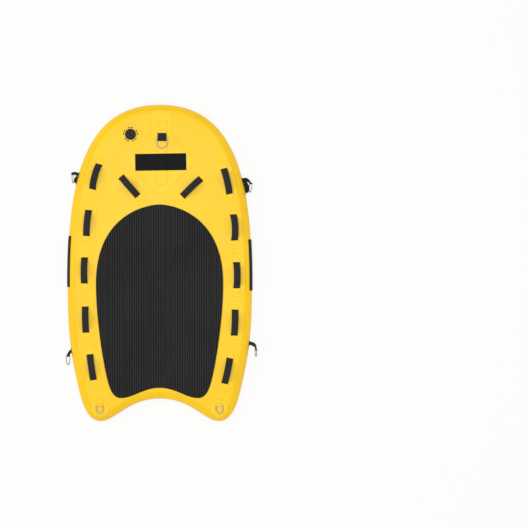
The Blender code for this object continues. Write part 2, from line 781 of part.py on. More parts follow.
def build_base_sheets(outline, materials):
    fore_port, fore_starboard = outline.at_y(-1, SHEET_JOINT_Y), outline.at_y(1, SHEET_JOINT_Y)
    nose = outline.total / 2

    def skid_edge(s):
        share = ease(abs(s - nose), *SKID_WIDENING)
        return -inset_angle(SKID_BORDER_NOSE + (SKID_BORDER_SIDE - SKID_BORDER_NOSE) * share)

    def tail_edge(s):
        from_notch = min(s, outline.total - s)
        to_tip, to_side = ease(from_notch, *TAIL_NARROWING), ease(from_notch, *TAIL_WIDENING)
        border = TAIL_BORDER_NOTCH + (TAIL_BORDER_TIP - TAIL_BORDER_NOTCH) * to_tip
        return -inset_angle(border + (TAIL_BORDER_SIDE - TAIL_BORDER_TIP) * to_side)

    for name, start, end, edge, material in (
        ("nose_skid_sheet", fore_starboard, fore_port, skid_edge, "skid_sheet"),
        ("tail_base_sheet", fore_port + GAP, fore_starboard - GAP, tail_edge, "base_fabric"),
    ):
        run = outline.folded_run(start, end, edge)
        shell(
            name, outline, run, False, lambda s, edge=edge: sheet_angles(edge(s)),
            lambda a: sheet_inner(a) + SHEET, sheet_inner, materials[material],
        )


# Deck pad


def curve_value(points, x, key, value):
    """Value of the other coordinate where a dense curve passes x."""
    for a, b in zip(points, points[1:]):
        if (a[key] - x) * (b[key] - x) <= 0 and a[key] != b[key]:
            return a[value] + (x - a[key]) / (b[key] - a[key]) * (b[value] - a[value])
    return points[0][value] if abs(points[0][key] - x) < abs(points[-1][key] - x) else points[-1][value]


def pad_edges():
    """Front and rear edges of the pad's starboard half."""
    widest, turn, lobe = Vector((PAD_HALF_WIDTH, PAD_WIDEST_Y)), Vector(PAD_SIDE), Vector(PAD_LOBE)
    fore, aft = (PAD_HALF_WIDTH, PAD_HANDLE_FORE_Y), (PAD_HALF_WIDTH, PAD_HANDLE_AFT_Y)
    lean, out = Vector(PAD_SIDE_LEAN), Vector((1.0, 0.0))
    front = bezier((0.0, PAD_TOP_Y), (PAD_TOP_HANDLE, PAD_TOP_Y), fore, widest)
    side = bezier(widest, aft, turn - lean * PAD_SIDE_HANDLES[0], turn)
    end = bezier(turn, turn + lean * PAD_SIDE_HANDLES[1], lobe + out * PAD_LOBE_HANDLES[0], lobe)
    foot = bezier(lobe, lobe - out * PAD_LOBE_HANDLES[1], (PAD_FOOT_HANDLE, PAD_FOOT_Y), (0.0, PAD_FOOT_Y))
    return front, side + end[1:] + foot[1:]


def build_deck_pad(materials):
    """Lengthwise ribs: a cross-section that runs from the pad's rear edge to its front edge at each x."""
    front, rear = pad_edges()
    low, top = PATCH_LOW, PATCH_LOW + PAD_THICKNESS
    half_count = int(PAD_HALF_WIDTH / PAD_PITCH)
    half_rib = (PAD_PITCH - PAD_GROOVE_WIDTH) / 2
    stations = []
    for k in range(-half_count, half_count + 1):
        middle = k * PAD_PITCH
        stations += [(middle - half_rib, top), (middle + half_rib, top)]
        if k < half_count:
            stations.append((middle + PAD_PITCH / 2, top - PAD_GROOVE_DEPTH))
    limit = PAD_HALF_WIDTH - PAD_SIDE_CUT
    stations = [(-limit, top)] + [s for s in stations if abs(s[0]) < limit - PAD_SIDE_CUT] + [(limit, top)]
    sections = []
    for x, z in stations:
        y_front = curve_value(front, abs(x), 0, 1)
        y_rear = curve_value(rear, abs(x), 0, 1)
        sections.append([(x, y_rear, low), (x, y_front, low), (x, y_front, z), (x, y_rear, z)])
    sweep("deck_pad", sections, materials["pad_foam"])


# Handles


def strap_sections(path, width, thickness, lean=0.0):
    """Rectangular sections across a strap whose middle line is path, points of (along, up)."""
    sections = []
    for i, (u, z) in enumerate(path):
        before, after = path[max(i - 1, 0)], path[min(i + 1, len(path) - 1)]
        along = Vector((after[0] - before[0], after[1] - before[1])).normalized()
        up = Vector((-along.y, along.x)) * thickness / 2
        side = lean * (z - path[0][1]) / HANDLE_HEIGHT
        corners = ((-width / 2, -1), (width / 2, -1), (width / 2, 1), (-width / 2, 1))
        sections.append([(side + v, u + k * up.x, z + k * up.y) for v, k in corners])
    return sections


def handle_path():
    """Flat end under the patch, rise through the slit, crown, and the same down again."""
    low = PATCH_LOW + WEBBING / 2
    crown = DECK_Z + HANDLE_HEIGHT
    foot, top = HANDLE_RISE_HANDLES
    rise = bezier((HANDLE_RISE_START, low), (foot, low), (top, crown), (0.0, crown), HANDLE_RISE_STEPS)
    half = [(HANDLE_FLAT_END, low)] + [rise[i] for i in HANDLE_RISE_KEPT]
    return [(-u, z) for u, z in half] + half[-2::-1]


def handle_place(x, y, tilt):
    return Matrix.Translation((x, y, 0.0)) @ Matrix.Rotation(radians(tilt), 4, "Z")


def build_handle_strap(name, x, y, tilt, materials):
    place = handle_place(x, y, tilt)
    lean = 0.0 if name.startswith("bow") else (HANDLE_LEAN if x > 0 else -HANDLE_LEAN)
    flat = strap_sections(handle_path(), STRAP_WIDTH, WEBBING, lean)
    sections = [[place @ Vector(p) for p in section] for section in flat]
    sweep("handle_strap_" + name, sections, materials["black_webbing"], origin=(x, y, DECK_Z))


def ridge_lift(v, u):
    """Height of a handle patch over the strap's end, from its own side and lengthwise position."""
    across = (STRAP_WIDTH / 2 + GAP + RIDGE_SLOPE - abs(v)) / RIDGE_SLOPE
    along = (abs(u) - SLIT_NEAR) / (SLIT_FAR - SLIT_NEAR)
    end = (HANDLE_FLAT_END + GAP + RIDGE_SLOPE - abs(u)) / RIDGE_SLOPE
    return RIDGE_LIFT * max(0.0, min(1.0, across, along, end))


def handle_patch_loops():
    half = STRAP_WIDTH / 2 + GAP
    outer = half + RIDGE_SLOPE
    loops = [rounded_rectangle(HANDLE_PATCH_WIDTH, HANDLE_PATCH_LENGTH, HANDLE_PATCH_CORNER)]
    creases = []
    for end in (-1, 1):
        near, far, tail = end * SLIT_NEAR, end * SLIT_FAR, end * (HANDLE_FLAT_END + GAP)
        foot = tail + end * RIDGE_SLOPE
        loops.append([(-half, near), (half, near), (half, far), (-half, far)])
        creases.append([(-half, far), (-half, tail), (half, tail), (half, far)])
        outside = [(-outer, far), (-outer, foot), (outer, foot), (outer, far)]
        creases.append([(-half, near), *outside, (half, near)])
    return loops, creases


def build_handle_patches(materials):
    loops, creases = handle_patch_loops()
    for name, x, y, tilt in HANDLES:
        place = handle_place(x, y, tilt)

        def face(z, place=place):
            return lambda p: place @ Vector((p[0], p[1], z + ridge_lift(p[0], p[1])))

        slab(
            "handle_patch_" + name, loops, face(PATCH_LOW), face(PATCH_TOP), materials["yellow_patch"],
            creases, origin=(x, y, DECK_Z),
        )


# Bow


def bow_ridge(x, y):
    """Height of the bow patch over the webbing."""
    across = (BOW_WEBBING_WIDTH / 2 + GAP + RIDGE_SLOPE - abs(x - BOW_WEBBING_X)) / RIDGE_SLOPE
    fore = (BOW_WEBBING_FORE_Y + GAP + RIDGE_SLOPE - y) / RIDGE_SLOPE
    aft = (y - BOW_WEBBING_AFT_Y + GAP + RIDGE_SLOPE) / RIDGE_SLOPE
    return RIDGE_LIFT * max(0.0, min(1.0, across, fore, aft))


def bow_patch_outline(head):
    """Square turned 45 degrees with its corners cut back a little, and the strip from its top to the head."""
    h, c, strip = BOW_PATCH_HALF, BOW_PATCH_CORNER / sqrt(2), BOW_STRIP_HALF
    right = [(c, c - h), (h - c, -c), (h - c, c), (strip, h - strip)]
    left = [(-x, y) for x, y in right[::-1]]
    place = [(BOW_X + x, BOW_PATCH_Y + y) for x, y in right + left]
    return place[: len(right)] + head[::-1] + place[len(right) :]


def build_bow_patch(outline, materials):
    """One sheet: it starts at the nose seam, comes up over the deck's front edge and ends in the square."""
    edge = [c + n * RAIL_RADIUS for c, n in outline.frames]
    nose = [(p.x, p.y) for p in edge if p.y > WIDEST[1] and abs(p.x) < WIDEST[0] / 2]
    left_side, right_side = BOW_X - BOW_STRIP_HALF, BOW_X + BOW_STRIP_HALF
    between = [x for x, _ in nose if left_side + BOW_HEAD_MARGIN < x < right_side - BOW_HEAD_MARGIN]
    xs = [left_side] + sorted(between) + [right_side]

    def nose_y(x):
        return curve_value(nose, x, 0, 1)

    def height(p, rise):
        out = max(0.0, RAIL_RADIUS - (nose_y(p[0]) - p[1]))
        return (p[0], p[1], MID_Z + round_height(out, SKIN_OUT + GAP + rise) + bow_ridge(*p))

    fold = RAIL_RADIUS - SKIN_OUT * cos(radians(3 * RAIL_STEP))
    insets = (BAND_INSET_NOSE + BOW_SEAM_GAP, fold, RAIL_RADIUS)
    head, curl, flat = [[(x, nose_y(x) - inset) for x in xs] for inset in insets]
    half = BOW_WEBBING_WIDTH / 2 + GAP
    outer = half + RIDGE_SLOPE
    left, right = BOW_WEBBING_X - half, BOW_WEBBING_X + half
    outer_left, outer_right = BOW_WEBBING_X - outer, BOW_WEBBING_X + outer
    fore, aft = BOW_WEBBING_FORE_Y + GAP, BOW_WEBBING_AFT_Y - GAP
    outer_fore, outer_aft = fore + RIDGE_SLOPE, aft - RIDGE_SLOPE
    window_fore, window_aft = BOW_WINDOW_FORE_Y, BOW_WINDOW_AFT_Y
    window = [(left, window_aft), (right, window_aft), (right, window_fore), (left, window_fore)]
    creases = [
        curl, flat,
        [(left, window_fore), (left, fore), (right, fore), (right, window_fore)],
        [(left, window_aft), (left, aft), (right, aft), (right, window_aft)],
        [(outer_left, outer_aft), (outer_right, outer_aft), (outer_right, outer_fore),
         (outer_left, outer_fore), (outer_left, outer_aft)],
    ]
    slab(
        "bow_patch", [bow_patch_outline(head), window], lambda p: height(p, 0.0),
        lambda p: height(p, FABRIC), materials["yellow_patch"], creases,
    )


def build_bow_webbing(materials):
    """Webbing that runs under the bow patch and arches over the ring's bar in the patch's window."""
    low = PATCH_LOW + WEBBING / 2
    crown = DECK_Z + BOW_RING_RISE + BOW_RING[2] + EYE_CLEARANCE + WEBBING / 2
    reach = BOW_RING[2] + EYE_CLEARANCE + WEBBING

    def arch(window_y, way, leaves, climbs, curls, tops):
        """Curve from an edge of the window up to the crown. way points from that edge to the eye."""
        foot, climb = [(window_y + way * along, low + rise) for along, rise in (leaves, climbs)]
        curl, top = [(BOW_EYE_Y - way * share * reach, crown) for share in (curls, tops)]
        return bezier(foot, climb, curl, top, BOW_ARCH_STEPS)

    path = [(BOW_WEBBING_FORE_Y, low), (BOW_WINDOW_FORE_Y - BOW_ARCH_LEAD, low)]
    path += arch(BOW_WINDOW_FORE_Y, -1, *BOW_ARCH_FORE) + [(BOW_EYE_Y, crown)]
    path += arch(BOW_WINDOW_AFT_Y, 1, *BOW_ARCH_AFT)[::-1]
    path += [(BOW_WINDOW_AFT_Y, low), (BOW_WEBBING_AFT_Y, low)]
    sections = [
        [(BOW_WEBBING_X + x, y, z) for x, y, z in section]
        for section in strap_sections(path[::-1], BOW_WEBBING_WIDTH, WEBBING)
    ]
    sweep("bow_webbing", sections, materials["black_webbing"])


def build_name_plate(materials):
    place = Matrix.Rotation(radians(PLATE_TURN), 2)
    half_x, half_y = PLATE_SIZE[0] / 2, PLATE_SIZE[1] / 2
    centre = Vector(PLATE_CENTRE)
    square = ((-half_x, -half_y), (half_x, -half_y), (half_x, half_y), (-half_x, half_y))
    corners = [centre + place @ Vector(p) for p in square]
    low = PATCH_TOP + GAP
    half = BOW_WEBBING_WIDTH / 2 + GAP
    reach = half_y + PLATE_CREASE_MARGIN
    creases = [
        [(BOW_WEBBING_X + k, PLATE_CENTRE[1] - reach), (BOW_WEBBING_X + k, PLATE_CENTRE[1] + reach)]
        for k in (-half - RIDGE_SLOPE, -half, half, half + RIDGE_SLOPE)
    ]

    def face(z):
        return lambda p: (p[0], p[1], z + bow_ridge(*p))

    slab(
        "name_plate", [[tuple(c) for c in corners]], face(low), face(low + PLATE_THICKNESS),
        materials["black_plate"], creases,
    )


# Rings and their straps


def ring_path(half, depth, straight):
    """D ring in its own plane: x along the bar, y down its depth, with the bar's middle at the origin."""
    shoulder, cut = straight * depth, RING_CORNER_CUT * RING_CORNER
    path = [(-half + RING_CORNER, 0.0), (half - RING_CORNER, 0.0), (half - cut, cut), (half, RING_CORNER)]
    for i in range(RING_BOW_STEPS + 1):
        a = pi * i / RING_BOW_STEPS
        path.append((half * cos(a), shoulder + (depth - shoulder) * sin(a)))
    path += [(-half, RING_CORNER), (-half + cut, cut)]
    return path


def build_ring(name, size, eye, bar, hang, materials):
    """A closed wire ring. bar and hang are unit directions along its bar and down its depth."""
    half, depth, wire, straight = size
    bar, hang, eye = Vector(bar).normalized(), Vector(hang).normalized(), Vector(eye)
    face = bar.cross(hang)
    path = [Vector(p) for p in ring_path(half, depth, straight)]
    sections = []
    for i, p in enumerate(path):
        before = (p - path[i - 1]).normalized()
        after = (path[(i + 1) % len(path)] - p).normalized()
        along = (before + after).normalized()
        out = Vector((along.y, -along.x)) / along.dot(after)
        section = []
        for k in range(RING_SIDES):
            a = 2 * pi * (k + 0.5) / RING_SIDES
            flat = p + out * wire * cos(a)
            section.append(eye + bar * flat.x + hang * flat.y + face * wire * sin(a))
        sections.append(section)
    sweep(name, sections, materials["stainless"], closed=True, origin=eye)


def folded_tab(name, line, wire, layer, low, high, material, bar_plan=(0.0, 0.0), others=()):
    """Webbing folded round a ring's bar. line is its middle line in its own plane and ends at the eye. low
    and high turn a point of that plane into a point of each edge of the webbing. bar_plan is the part of the
    bar's unit direction that lies in the plane, along which the eye stretches."""
    eye, last = Vector(line[-1]), Vector(line[-2])
    heading = atan2(eye.y - last.y, eye.x - last.x)
    outer, bore = wire + EYE_CLEARANCE + layer, (wire + EYE_CLEARANCE) / cos(pi / TAB_EYE_SIDES)
    left, right = [], []
    for i, p in enumerate(line[:-1]):
        before, after = Vector(line[max(i - 1, 0)]), Vector(line[min(i + 1, len(line) - 1)])
        along = (after - before).normalized()
        side = Vector((-along.y, along.x)) * layer
        left.append(tuple(Vector(p) + side))
        right.append(tuple(Vector(p) - side))
    arc = []
    for i in range(TAB_WRAP_STEPS + 1):
        a = heading + TAB_WRAP - 2 * TAB_WRAP * i / TAB_WRAP_STEPS
        arc.append((eye.x + outer * cos(a), eye.y + outer * sin(a)))
    lean = Vector(bar_plan)
    stretch = 1 / sqrt(1 - lean.length_squared) - 1

    def stretched(p):
        way = lean.normalized()
        return tuple(Vector(p) + way * (Vector(p) - eye).dot(way) * stretch)

    outline = right + [stretched(p) for p in arc[::-1]] + left[::-1]
    hole = [stretched(p) for p in circle(eye, bore, TAB_EYE_SIDES)]
    tab = slab(name, [outline, hole], low, high, material, origin=(low(eye) + high(eye)) / 2)
    for other in others:
        set_aside(other)
        boolean(tab, other, "UNION")


def build_bow_ring(materials):
    eye = (BOW_WEBBING_X, BOW_EYE_Y, DECK_Z + BOW_RING_RISE)
    build_ring("bow_ring", BOW_RING, eye, (1, 0, 0), (0, -1, 0), materials)


def tail_patch_height(outline, x, y, rise):
    """Height of a tail patch's underside plus rise: on the deck skin, over the band and down the rail."""
    inset = outline.inset(x, y)
    over_band = 1 - ease(inset, *TAIL_BLEND)
    radius = SKIN_OUT + GAP + over_band * (BAND_OUT - SKIN_OUT - GAP + TAIL_PATCH_CLEARANCE) + rise
    return MID_Z + round_height(max(0.0, RAIL_RADIUS - inset), radius)


def build_tail_ring(outline, side, x, y, turn, materials):
    """Round patch with a slit, yellow strap folded round the bar, and the ring lying towards the tail."""
    place = Matrix.Translation((x, y + TAIL_EYE_AHEAD, 0.0)) @ Matrix.Rotation(radians(turn), 4, "Z")
    half = TAIL_STRAP_WIDTH / 2 + GAP
    lift = 2 * TAIL_STRAP_LAYER + GAP
    slit_aft, slit_fore, end = [u - TAIL_EYE_AHEAD for u in (*TAIL_SLIT, TAIL_STRAP_END)]
    away = place.inverted()

    def strap_lift(px, py):
        v, u = (away @ Vector((px, py, 0.0)))[:2]
        across = (half + RIDGE_SLOPE - abs(v)) / RIDGE_SLOPE
        along = (u - slit_aft) / (slit_fore - slit_aft)
        tail = (end + GAP + RIDGE_SLOPE - u) / RIDGE_SLOPE
        return lift * max(0.0, min(1.0, across, along, tail))

    def plan(points):
        return [tuple((place @ Vector((px, py, 0.0)))[:2]) for px, py in points]

    outer, foot = half + RIDGE_SLOPE, end + RIDGE_SLOPE
    slit = plan([(-half, slit_aft), (half, slit_aft), (half, slit_fore), (-half, slit_fore)])
    creases = [
        plan([(-half, slit_fore), (-half, end + GAP), (half, end + GAP), (half, slit_fore)]),
        plan([(-half, slit_aft), (-outer, slit_fore), (-outer, foot), (outer, foot), (outer, slit_fore),
              (half, slit_aft)]),
    ]
    creases += outline.folds_near(x, y, 2 * TAIL_PATCH_RADIUS, (BAND_FOLD, *TAIL_BLEND, RAIL_RADIUS))
    slab(
        "tail_ring_patch_" + side, [circle((x, y), TAIL_PATCH_RADIUS, TAIL_PATCH_STEPS), slit],
        lambda p: (p[0], p[1], tail_patch_height(outline, *p, 0.0) + strap_lift(*p)),
        lambda p: (p[0], p[1], tail_patch_height(outline, *p, FABRIC) + strap_lift(*p)),
        materials["yellow_patch"], creases,
    )
    low = PATCH_LOW + TAIL_STRAP_LAYER
    eye_z = DECK_Z + TAIL_EYE_RISE
    half_width = TAIL_STRAP_WIDTH / 2
    folded_tab(
        "tail_ring_strap_" + side, [(end, low), (slit_fore - GAP, low), (0.0, eye_z)],
        TAIL_RING[2], TAIL_STRAP_LAYER, lambda p: place @ Vector((half_width, p[0], p[1])),
        lambda p: place @ Vector((-half_width, p[0], p[1])), materials["yellow_patch"],
    )
    turned_way = place.to_3x3()
    drop = radians(TAIL_RING_DROP)
    build_ring(
        "tail_ring_" + side, TAIL_RING, place @ Vector((0.0, 0.0, eye_z)),
        turned_way @ Vector((1, 0, 0)), turned_way @ Vector((0, -cos(drop), -sin(drop))), materials,
    )


def ring_bar_way(hang, side, lean):
    """Direction of a side ring's bar: upright, leaning outboard at its top, and square to where it hangs."""
    hang = Vector(hang).normalized()
    bar = Vector((side * sin(radians(lean)), 0.0, cos(radians(lean))))
    return (bar - hang * bar.dot(hang)).normalized()


def tab_loop(outline, name, side, materials):
    """The tail of a forward tab, which arches off the rail between the tab's foot and a foot of its own."""
    fore_y, aft_y, height = TAB_LOOPS[name]
    start, end = outline.at_y(side, fore_y), outline.at_y(side, aft_y)
    low = BAND_OUT + GAP + LOOP_THICKNESS / 2
    way = 1 if end > start else -1
    span = abs(end - start) - 2 * LOOP_FOOT
    path = [(start, low)]
    for i in range(LOOP_STEPS + 1):
        t = i / LOOP_STEPS
        path.append((start + way * (LOOP_FOOT + span * t), low + height * sin(pi * t) ** LOOP_FULLNESS))
    path.append((end, low))
    middle = [outline.frame(s)[0] + outline.frame(s)[1].normalized() * out for s, out in path]
    sections = []
    for i, p in enumerate(middle):
        along = (middle[min(i + 1, len(middle) - 1)] - middle[max(i - 1, 0)]).normalized()
        out = Vector((along.y, -along.x)) * LOOP_THICKNESS / 2
        section = []
        for k, z in ((-1, -1), (1, -1), (1, 1), (-1, 1)):
            section.append((p.x + k * out.x, p.y + k * out.y, MID_Z + z * LOOP_WIDTH / 2))
        sections.append(section)
    return sweep("side_ring_tab_loop_" + name, sections, materials["black_webbing"])


def build_side_ring(outline, name, side, root_y, eye, hang, lean, materials):
    """Tab glued to the rail by its foot, and its ring. The tab twists from upright to the bar's lean."""
    s = outline.at_y(side, root_y)
    foot_in = BAND_OUT + GAP
    centre, outward = outline.frame(s)
    outward = outward.normalized()
    root, eye = centre + outward * (foot_in + TAB_FOOT_THICKNESS / 2), Vector(eye)
    reach = eye - root
    bend = root + outward * reach.dot(outward) * TAB_BEND_OUT
    middle = root.lerp(eye, 0.5).lerp(bend, 0.5)
    bar = ring_bar_way(hang, side, lean)
    twist_end = reach.length - SIDE_RING[2] - 2 * TAB_LAYER

    def edge(p, end):
        share = max(0.0, min(1.0, (Vector(p[:2]) - root).dot(reach.normalized()) / twist_end))
        way = Vector((0.0, 0.0, 1.0)).lerp(bar, share).normalized()
        square_end = share * (Vector(p[:2]) - eye).dot(bar.xy)
        return Vector((p[0], p[1], MID_Z)) + way * (end * TAB_WIDTH / 2 - square_end)

    others = [
        rail_shell(
            "side_ring_tab_foot_" + name, outline, outline.run(s - TAB_FOOT_HALF, s + TAB_FOOT_HALF),
            lambda _: [-RAIL_STEP, 0.0, RAIL_STEP], foot_in + TAB_FOOT_THICKNESS, foot_in,
            materials["black_webbing"],
        )
    ]
    if name in TAB_LOOPS:
        others.append(tab_loop(outline, name, side, materials))
    folded_tab(
        "side_ring_tab_" + name, [tuple(root), tuple(middle), tuple(eye)], SIDE_RING[2], TAB_LAYER,
        lambda p: edge(p, -1), lambda p: edge(p, 1), materials["black_webbing"], bar[:2], others,
    )
    build_ring("side_ring_" + name, SIDE_RING, (*eye, MID_Z), bar, hang, materials)


def build_side_panels(outline, materials):
    for name, side, fore_y, aft_y in SIDE_PANELS:
        start, end = sorted((outline.at_y(side, fore_y), outline.at_y(side, aft_y)))
        angles = [RAIL_STEP * k for k in range(-PANEL_REACH, PANEL_REACH + 1)]
        inner = BAND_OUT + GAP
        rail_shell(
            name, outline, outline.run(start, end), lambda _, row=angles: row,
            inner + PANEL_THICKNESS, inner, materials["black_plate"],
        )


# Valve


def build_valve_mounting(materials):
    loops = [circle(VALVE_CENTRE, radius, ROUND_STEPS) for radius in (VALVE_PATCH_RADIUS, VALVE_HOLE_RADIUS)]
    slab("valve_patch", loops, level(PATCH_LOW), level(PATCH_TOP), materials["yellow_patch"])
    patch_top = PATCH_TOP - DECK_Z
    gasket_low, gasket_top = patch_top + GAP, FLANGE_LOW - GAP
    turned(
        "valve_gasket",
        [(VALVE_HOLE_RADIUS, gasket_low), (GASKET_RADIUS, gasket_low), (GASKET_RADIUS, gasket_top),
         (VALVE_HOLE_RADIUS, gasket_top)],
        VALVE_CENTRE, materials["rubber"],
    )
    nut_top = -FABRIC - GAP
    turned(
        "valve_nut",
        [(VALVE_HOLE_RADIUS, nut_top - NUT_THICKNESS), (NUT_RADIUS - NUT_BEVEL, nut_top - NUT_THICKNESS),
         (NUT_RADIUS, nut_top - NUT_BEVEL), (NUT_RADIUS, nut_top), (VALVE_HOLE_RADIUS, nut_top)],
        VALVE_CENTRE, materials["valve_plastic"],
    )


def build_valve_body(materials):
    """Flange, threaded barrel and the web that guides the plunger's stem, with air holes through the web."""
    guide = STEM_RADIUS + STEM_CLEARANCE
    profile = [
        (BARREL_BORE, -BARREL_DEPTH), (BARREL_RADIUS, -BARREL_DEPTH), (BARREL_RADIUS, FLANGE_LOW),
        (FLANGE_RADIUS, FLANGE_LOW), (FLANGE_RADIUS, FLANGE_TOP - FLANGE_BEVEL),
        (FLANGE_RADIUS - FLANGE_BEVEL, FLANGE_TOP),
        (NECK_RADIUS, FLANGE_TOP), (NECK_RADIUS, NECK_TOP), (BARREL_BORE, NECK_TOP), (BARREL_BORE, WEB_TOP),
        (guide, WEB_TOP), (guide, WEB_LOW), (BARREL_BORE, WEB_LOW),
    ]
    body = turned("valve_body", profile, VALVE_CENTRE, materials["valve_plastic"])
    low, high = WEB_LOW - GUIDE_REACH, WEB_TOP + GUIDE_REACH
    rod = [(0.0, low), (AIR_HOLE_RADIUS, low), (AIR_HOLE_RADIUS, high), (0.0, high)]
    points, faces = [], []
    for centre in circle(VALVE_CENTRE, AIR_HOLE_ORBIT, AIR_HOLES):
        rod_points, rod_faces = turned_faces(rod, centre, AIR_HOLE_STEPS)
        faces += [tuple(i + len(points) for i in face) for face in rod_faces]
        points += rod_points
    boolean(body, cutter("air_hole_guide", points, faces), "DIFFERENCE")


def build_valve_plunger(materials):
    seat = -BARREL_DEPTH - GAP
    under = seat - PLUNGER_DISC_THICKNESS
    turned(
        "valve_plunger",
        [(0.0, under - PLUNGER_TAIL), (STEM_RADIUS, under - PLUNGER_TAIL), (STEM_RADIUS, under),
         (PLUNGER_DISC_RADIUS, under), (PLUNGER_DISC_RADIUS, seat), (STEM_RADIUS, seat),
         (STEM_RADIUS, PLUNGER_HEAD_LOW), (PLUNGER_HEAD_RADIUS, PLUNGER_HEAD_LOW),
         (PLUNGER_HEAD_RADIUS, PLUNGER_HEAD_TOP - PLUNGER_BEVEL),
         (PLUNGER_HEAD_RADIUS - PLUNGER_BEVEL, PLUNGER_HEAD_TOP), (0.0, PLUNGER_HEAD_TOP)],
        VALVE_CENTRE, materials["valve_plastic"], PLUNGER_STEPS,
    )
    low, high = WEB_TOP + GAP + SPRING_WIRE, PLUNGER_HEAD_LOW - GAP - SPRING_WIRE
    sections, count = [], SPRING_TURNS * SPRING_STEPS
    for i in range(count + 1):
        a = 2 * pi * i / SPRING_STEPS
        out = Vector((cos(a), sin(a), 0.0))
        up = Vector((0.0, 0.0, 1.0))
        middle = Vector((*VALVE_CENTRE, DECK_Z + low + (high - low) * i / count)) + out * SPRING_RADIUS
        sections.append([middle + way * SPRING_WIRE for way in (out, up, -out, -up)])
    sweep("valve_spring", sections, materials["stainless"], origin=(*VALVE_CENTRE, DECK_Z + WEB_TOP))


def build_valve_cap(materials):
    seal_z = NECK_TOP + GAP + SEAL_WIRE
    turned(
        "cap_seal",
        circle((SEAL_RADIUS, seal_z), SEAL_WIRE, SEAL_SIDES), VALVE_CENTRE, materials["rubber"],
    )
    cap = turned(
        "valve_cap",
        [(CAP_BORE, CAP_LOW), (CAP_RADIUS, CAP_LOW), (CAP_RADIUS, CAP_TOP - CAP_BEVEL),
         (CAP_RADIUS - CAP_BEVEL, CAP_TOP), (0.0, CAP_TOP), (0.0, CAP_CEILING), (CAP_BORE, CAP_CEILING)],
        VALVE_CENTRE, materials["valve_plastic"],
    )
    turn = Matrix.Rotation(radians(GRIP_TURN), 2)
    length, width = GRIP_SIZE
    centre = Vector(VALVE_CENTRE)
    corners = rounded_rectangle(width, length, width * GRIP_CORNER, GRIP_CORNER_STEPS)
    loop = [centre + turn @ Vector(c) for c in corners]
    count = len(loop)
    low, high = DECK_Z + CAP_TOP - GRIP_SINK, DECK_Z + GRIP_TOP
    points = [(x, y, low) for x, y in loop] + [(x, y, high) for x, y in loop]
    faces = [tuple(range(count))[::-1], tuple(range(count, 2 * count))]
    faces += [(k, (k + 1) % count, count + (k + 1) % count, count + k) for k in range(count)]
    boolean(cap, cutter("cap_grip_guide", points, faces), "UNION")


def parent_all():
    """Every piece hangs on one empty at the sled's origin."""
    sled = bpy.data.objects.new("rescue_sled", None)
    bpy.context.scene.collection.objects.link(sled)
    for item in bpy.data.objects:
        if item.type == "MESH":
            item.parent = sled


def main():
    clear_scene()
    materials = make_materials()
    outline = Outline()
    build_skins(outline, materials)
    build_rail_bands(outline, materials)
    build_core(outline, materials)
    build_base_sheets(outline, materials)
    build_deck_pad(materials)
    for name, x, y, tilt in HANDLES:
        build_handle_strap(name, x, y, tilt, materials)
    build_handle_patches(materials)
    build_bow_patch(outline, materials)
    build_bow_webbing(materials)
    build_name_plate(materials)
    build_bow_ring(materials)
    for side, x, y, turn in TAIL_RINGS:
        build_tail_ring(outline, side, x, y, turn, materials)
    for row in SIDE_RINGS:
        build_side_ring(outline, *row, materials)
    build_side_panels(outline, materials)
    build_valve_mounting(materials)
    build_valve_body(materials)
    build_valve_plunger(materials)
    build_valve_cap(materials)
    parent_all()


main()
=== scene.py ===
"""Inflatable rescue sled: its visible pieces, their finishes and the studio, built round the packed frame.

Metres, +Z up. The sled lies on its underside, the nose points to +Y and +X is the starboard side.
"""

from math import acos, atan2, ceil, cos, degrees, hypot, pi, radians, sin, sqrt

import bmesh
import bpy
import numpy as np
from bpy.props import FloatProperty, FloatVectorProperty, IntProperty, PointerProperty
from mathutils import Matrix, Vector
from mathutils.geometry import delaunay_2d_cdt


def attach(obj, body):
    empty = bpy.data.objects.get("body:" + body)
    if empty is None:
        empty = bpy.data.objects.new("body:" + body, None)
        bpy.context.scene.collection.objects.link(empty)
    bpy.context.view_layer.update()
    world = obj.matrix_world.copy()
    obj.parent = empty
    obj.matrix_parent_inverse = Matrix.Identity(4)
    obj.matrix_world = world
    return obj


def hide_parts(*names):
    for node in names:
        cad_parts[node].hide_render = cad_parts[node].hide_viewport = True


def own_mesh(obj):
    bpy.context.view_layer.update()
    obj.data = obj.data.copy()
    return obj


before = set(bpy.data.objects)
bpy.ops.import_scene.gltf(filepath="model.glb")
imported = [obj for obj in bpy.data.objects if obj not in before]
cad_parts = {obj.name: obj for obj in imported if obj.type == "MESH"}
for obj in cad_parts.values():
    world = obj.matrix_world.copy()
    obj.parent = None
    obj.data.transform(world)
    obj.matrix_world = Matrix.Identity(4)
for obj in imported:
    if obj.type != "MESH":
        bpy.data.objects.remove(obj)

bl_info = {
    "name": "Inflatable rescue sled",
    "version": (1, 0, 0),
    "blender": (4, 5, 0),
    "location": "View3D > Sidebar > Rescue sled",
    "description": "Builds the sled's fabric, webbing, foam, steel and valve pieces on its frame",
    "category": "Object",
}

# Hull outline, nose to tail notch down the starboard side, as cubic curves with the steps of each. A point
# counts as on a side's rail beyond RAIL_SHARE of the greatest half width.
NOSE_Y = 0.9015
NOSE_HANDLE = 0.420
WIDEST = (0.5245, -0.106)
WIDEST_HANDLES = (0.601, 0.240)
SHOULDER = (0.4620, -0.712)
SHOULDER_LEAN = 0.235
SHOULDER_HANDLES = (0.240, 0.054)
TIP = (0.3376, -0.8985)
TIP_HANDLES = (0.083, 0.086)
NOTCH_Y = -0.7703
NOTCH_HANDLE = 0.1795
OUTLINE_STEPS = (130, 60, 44, 40)
RAIL_SHARE = 0.6

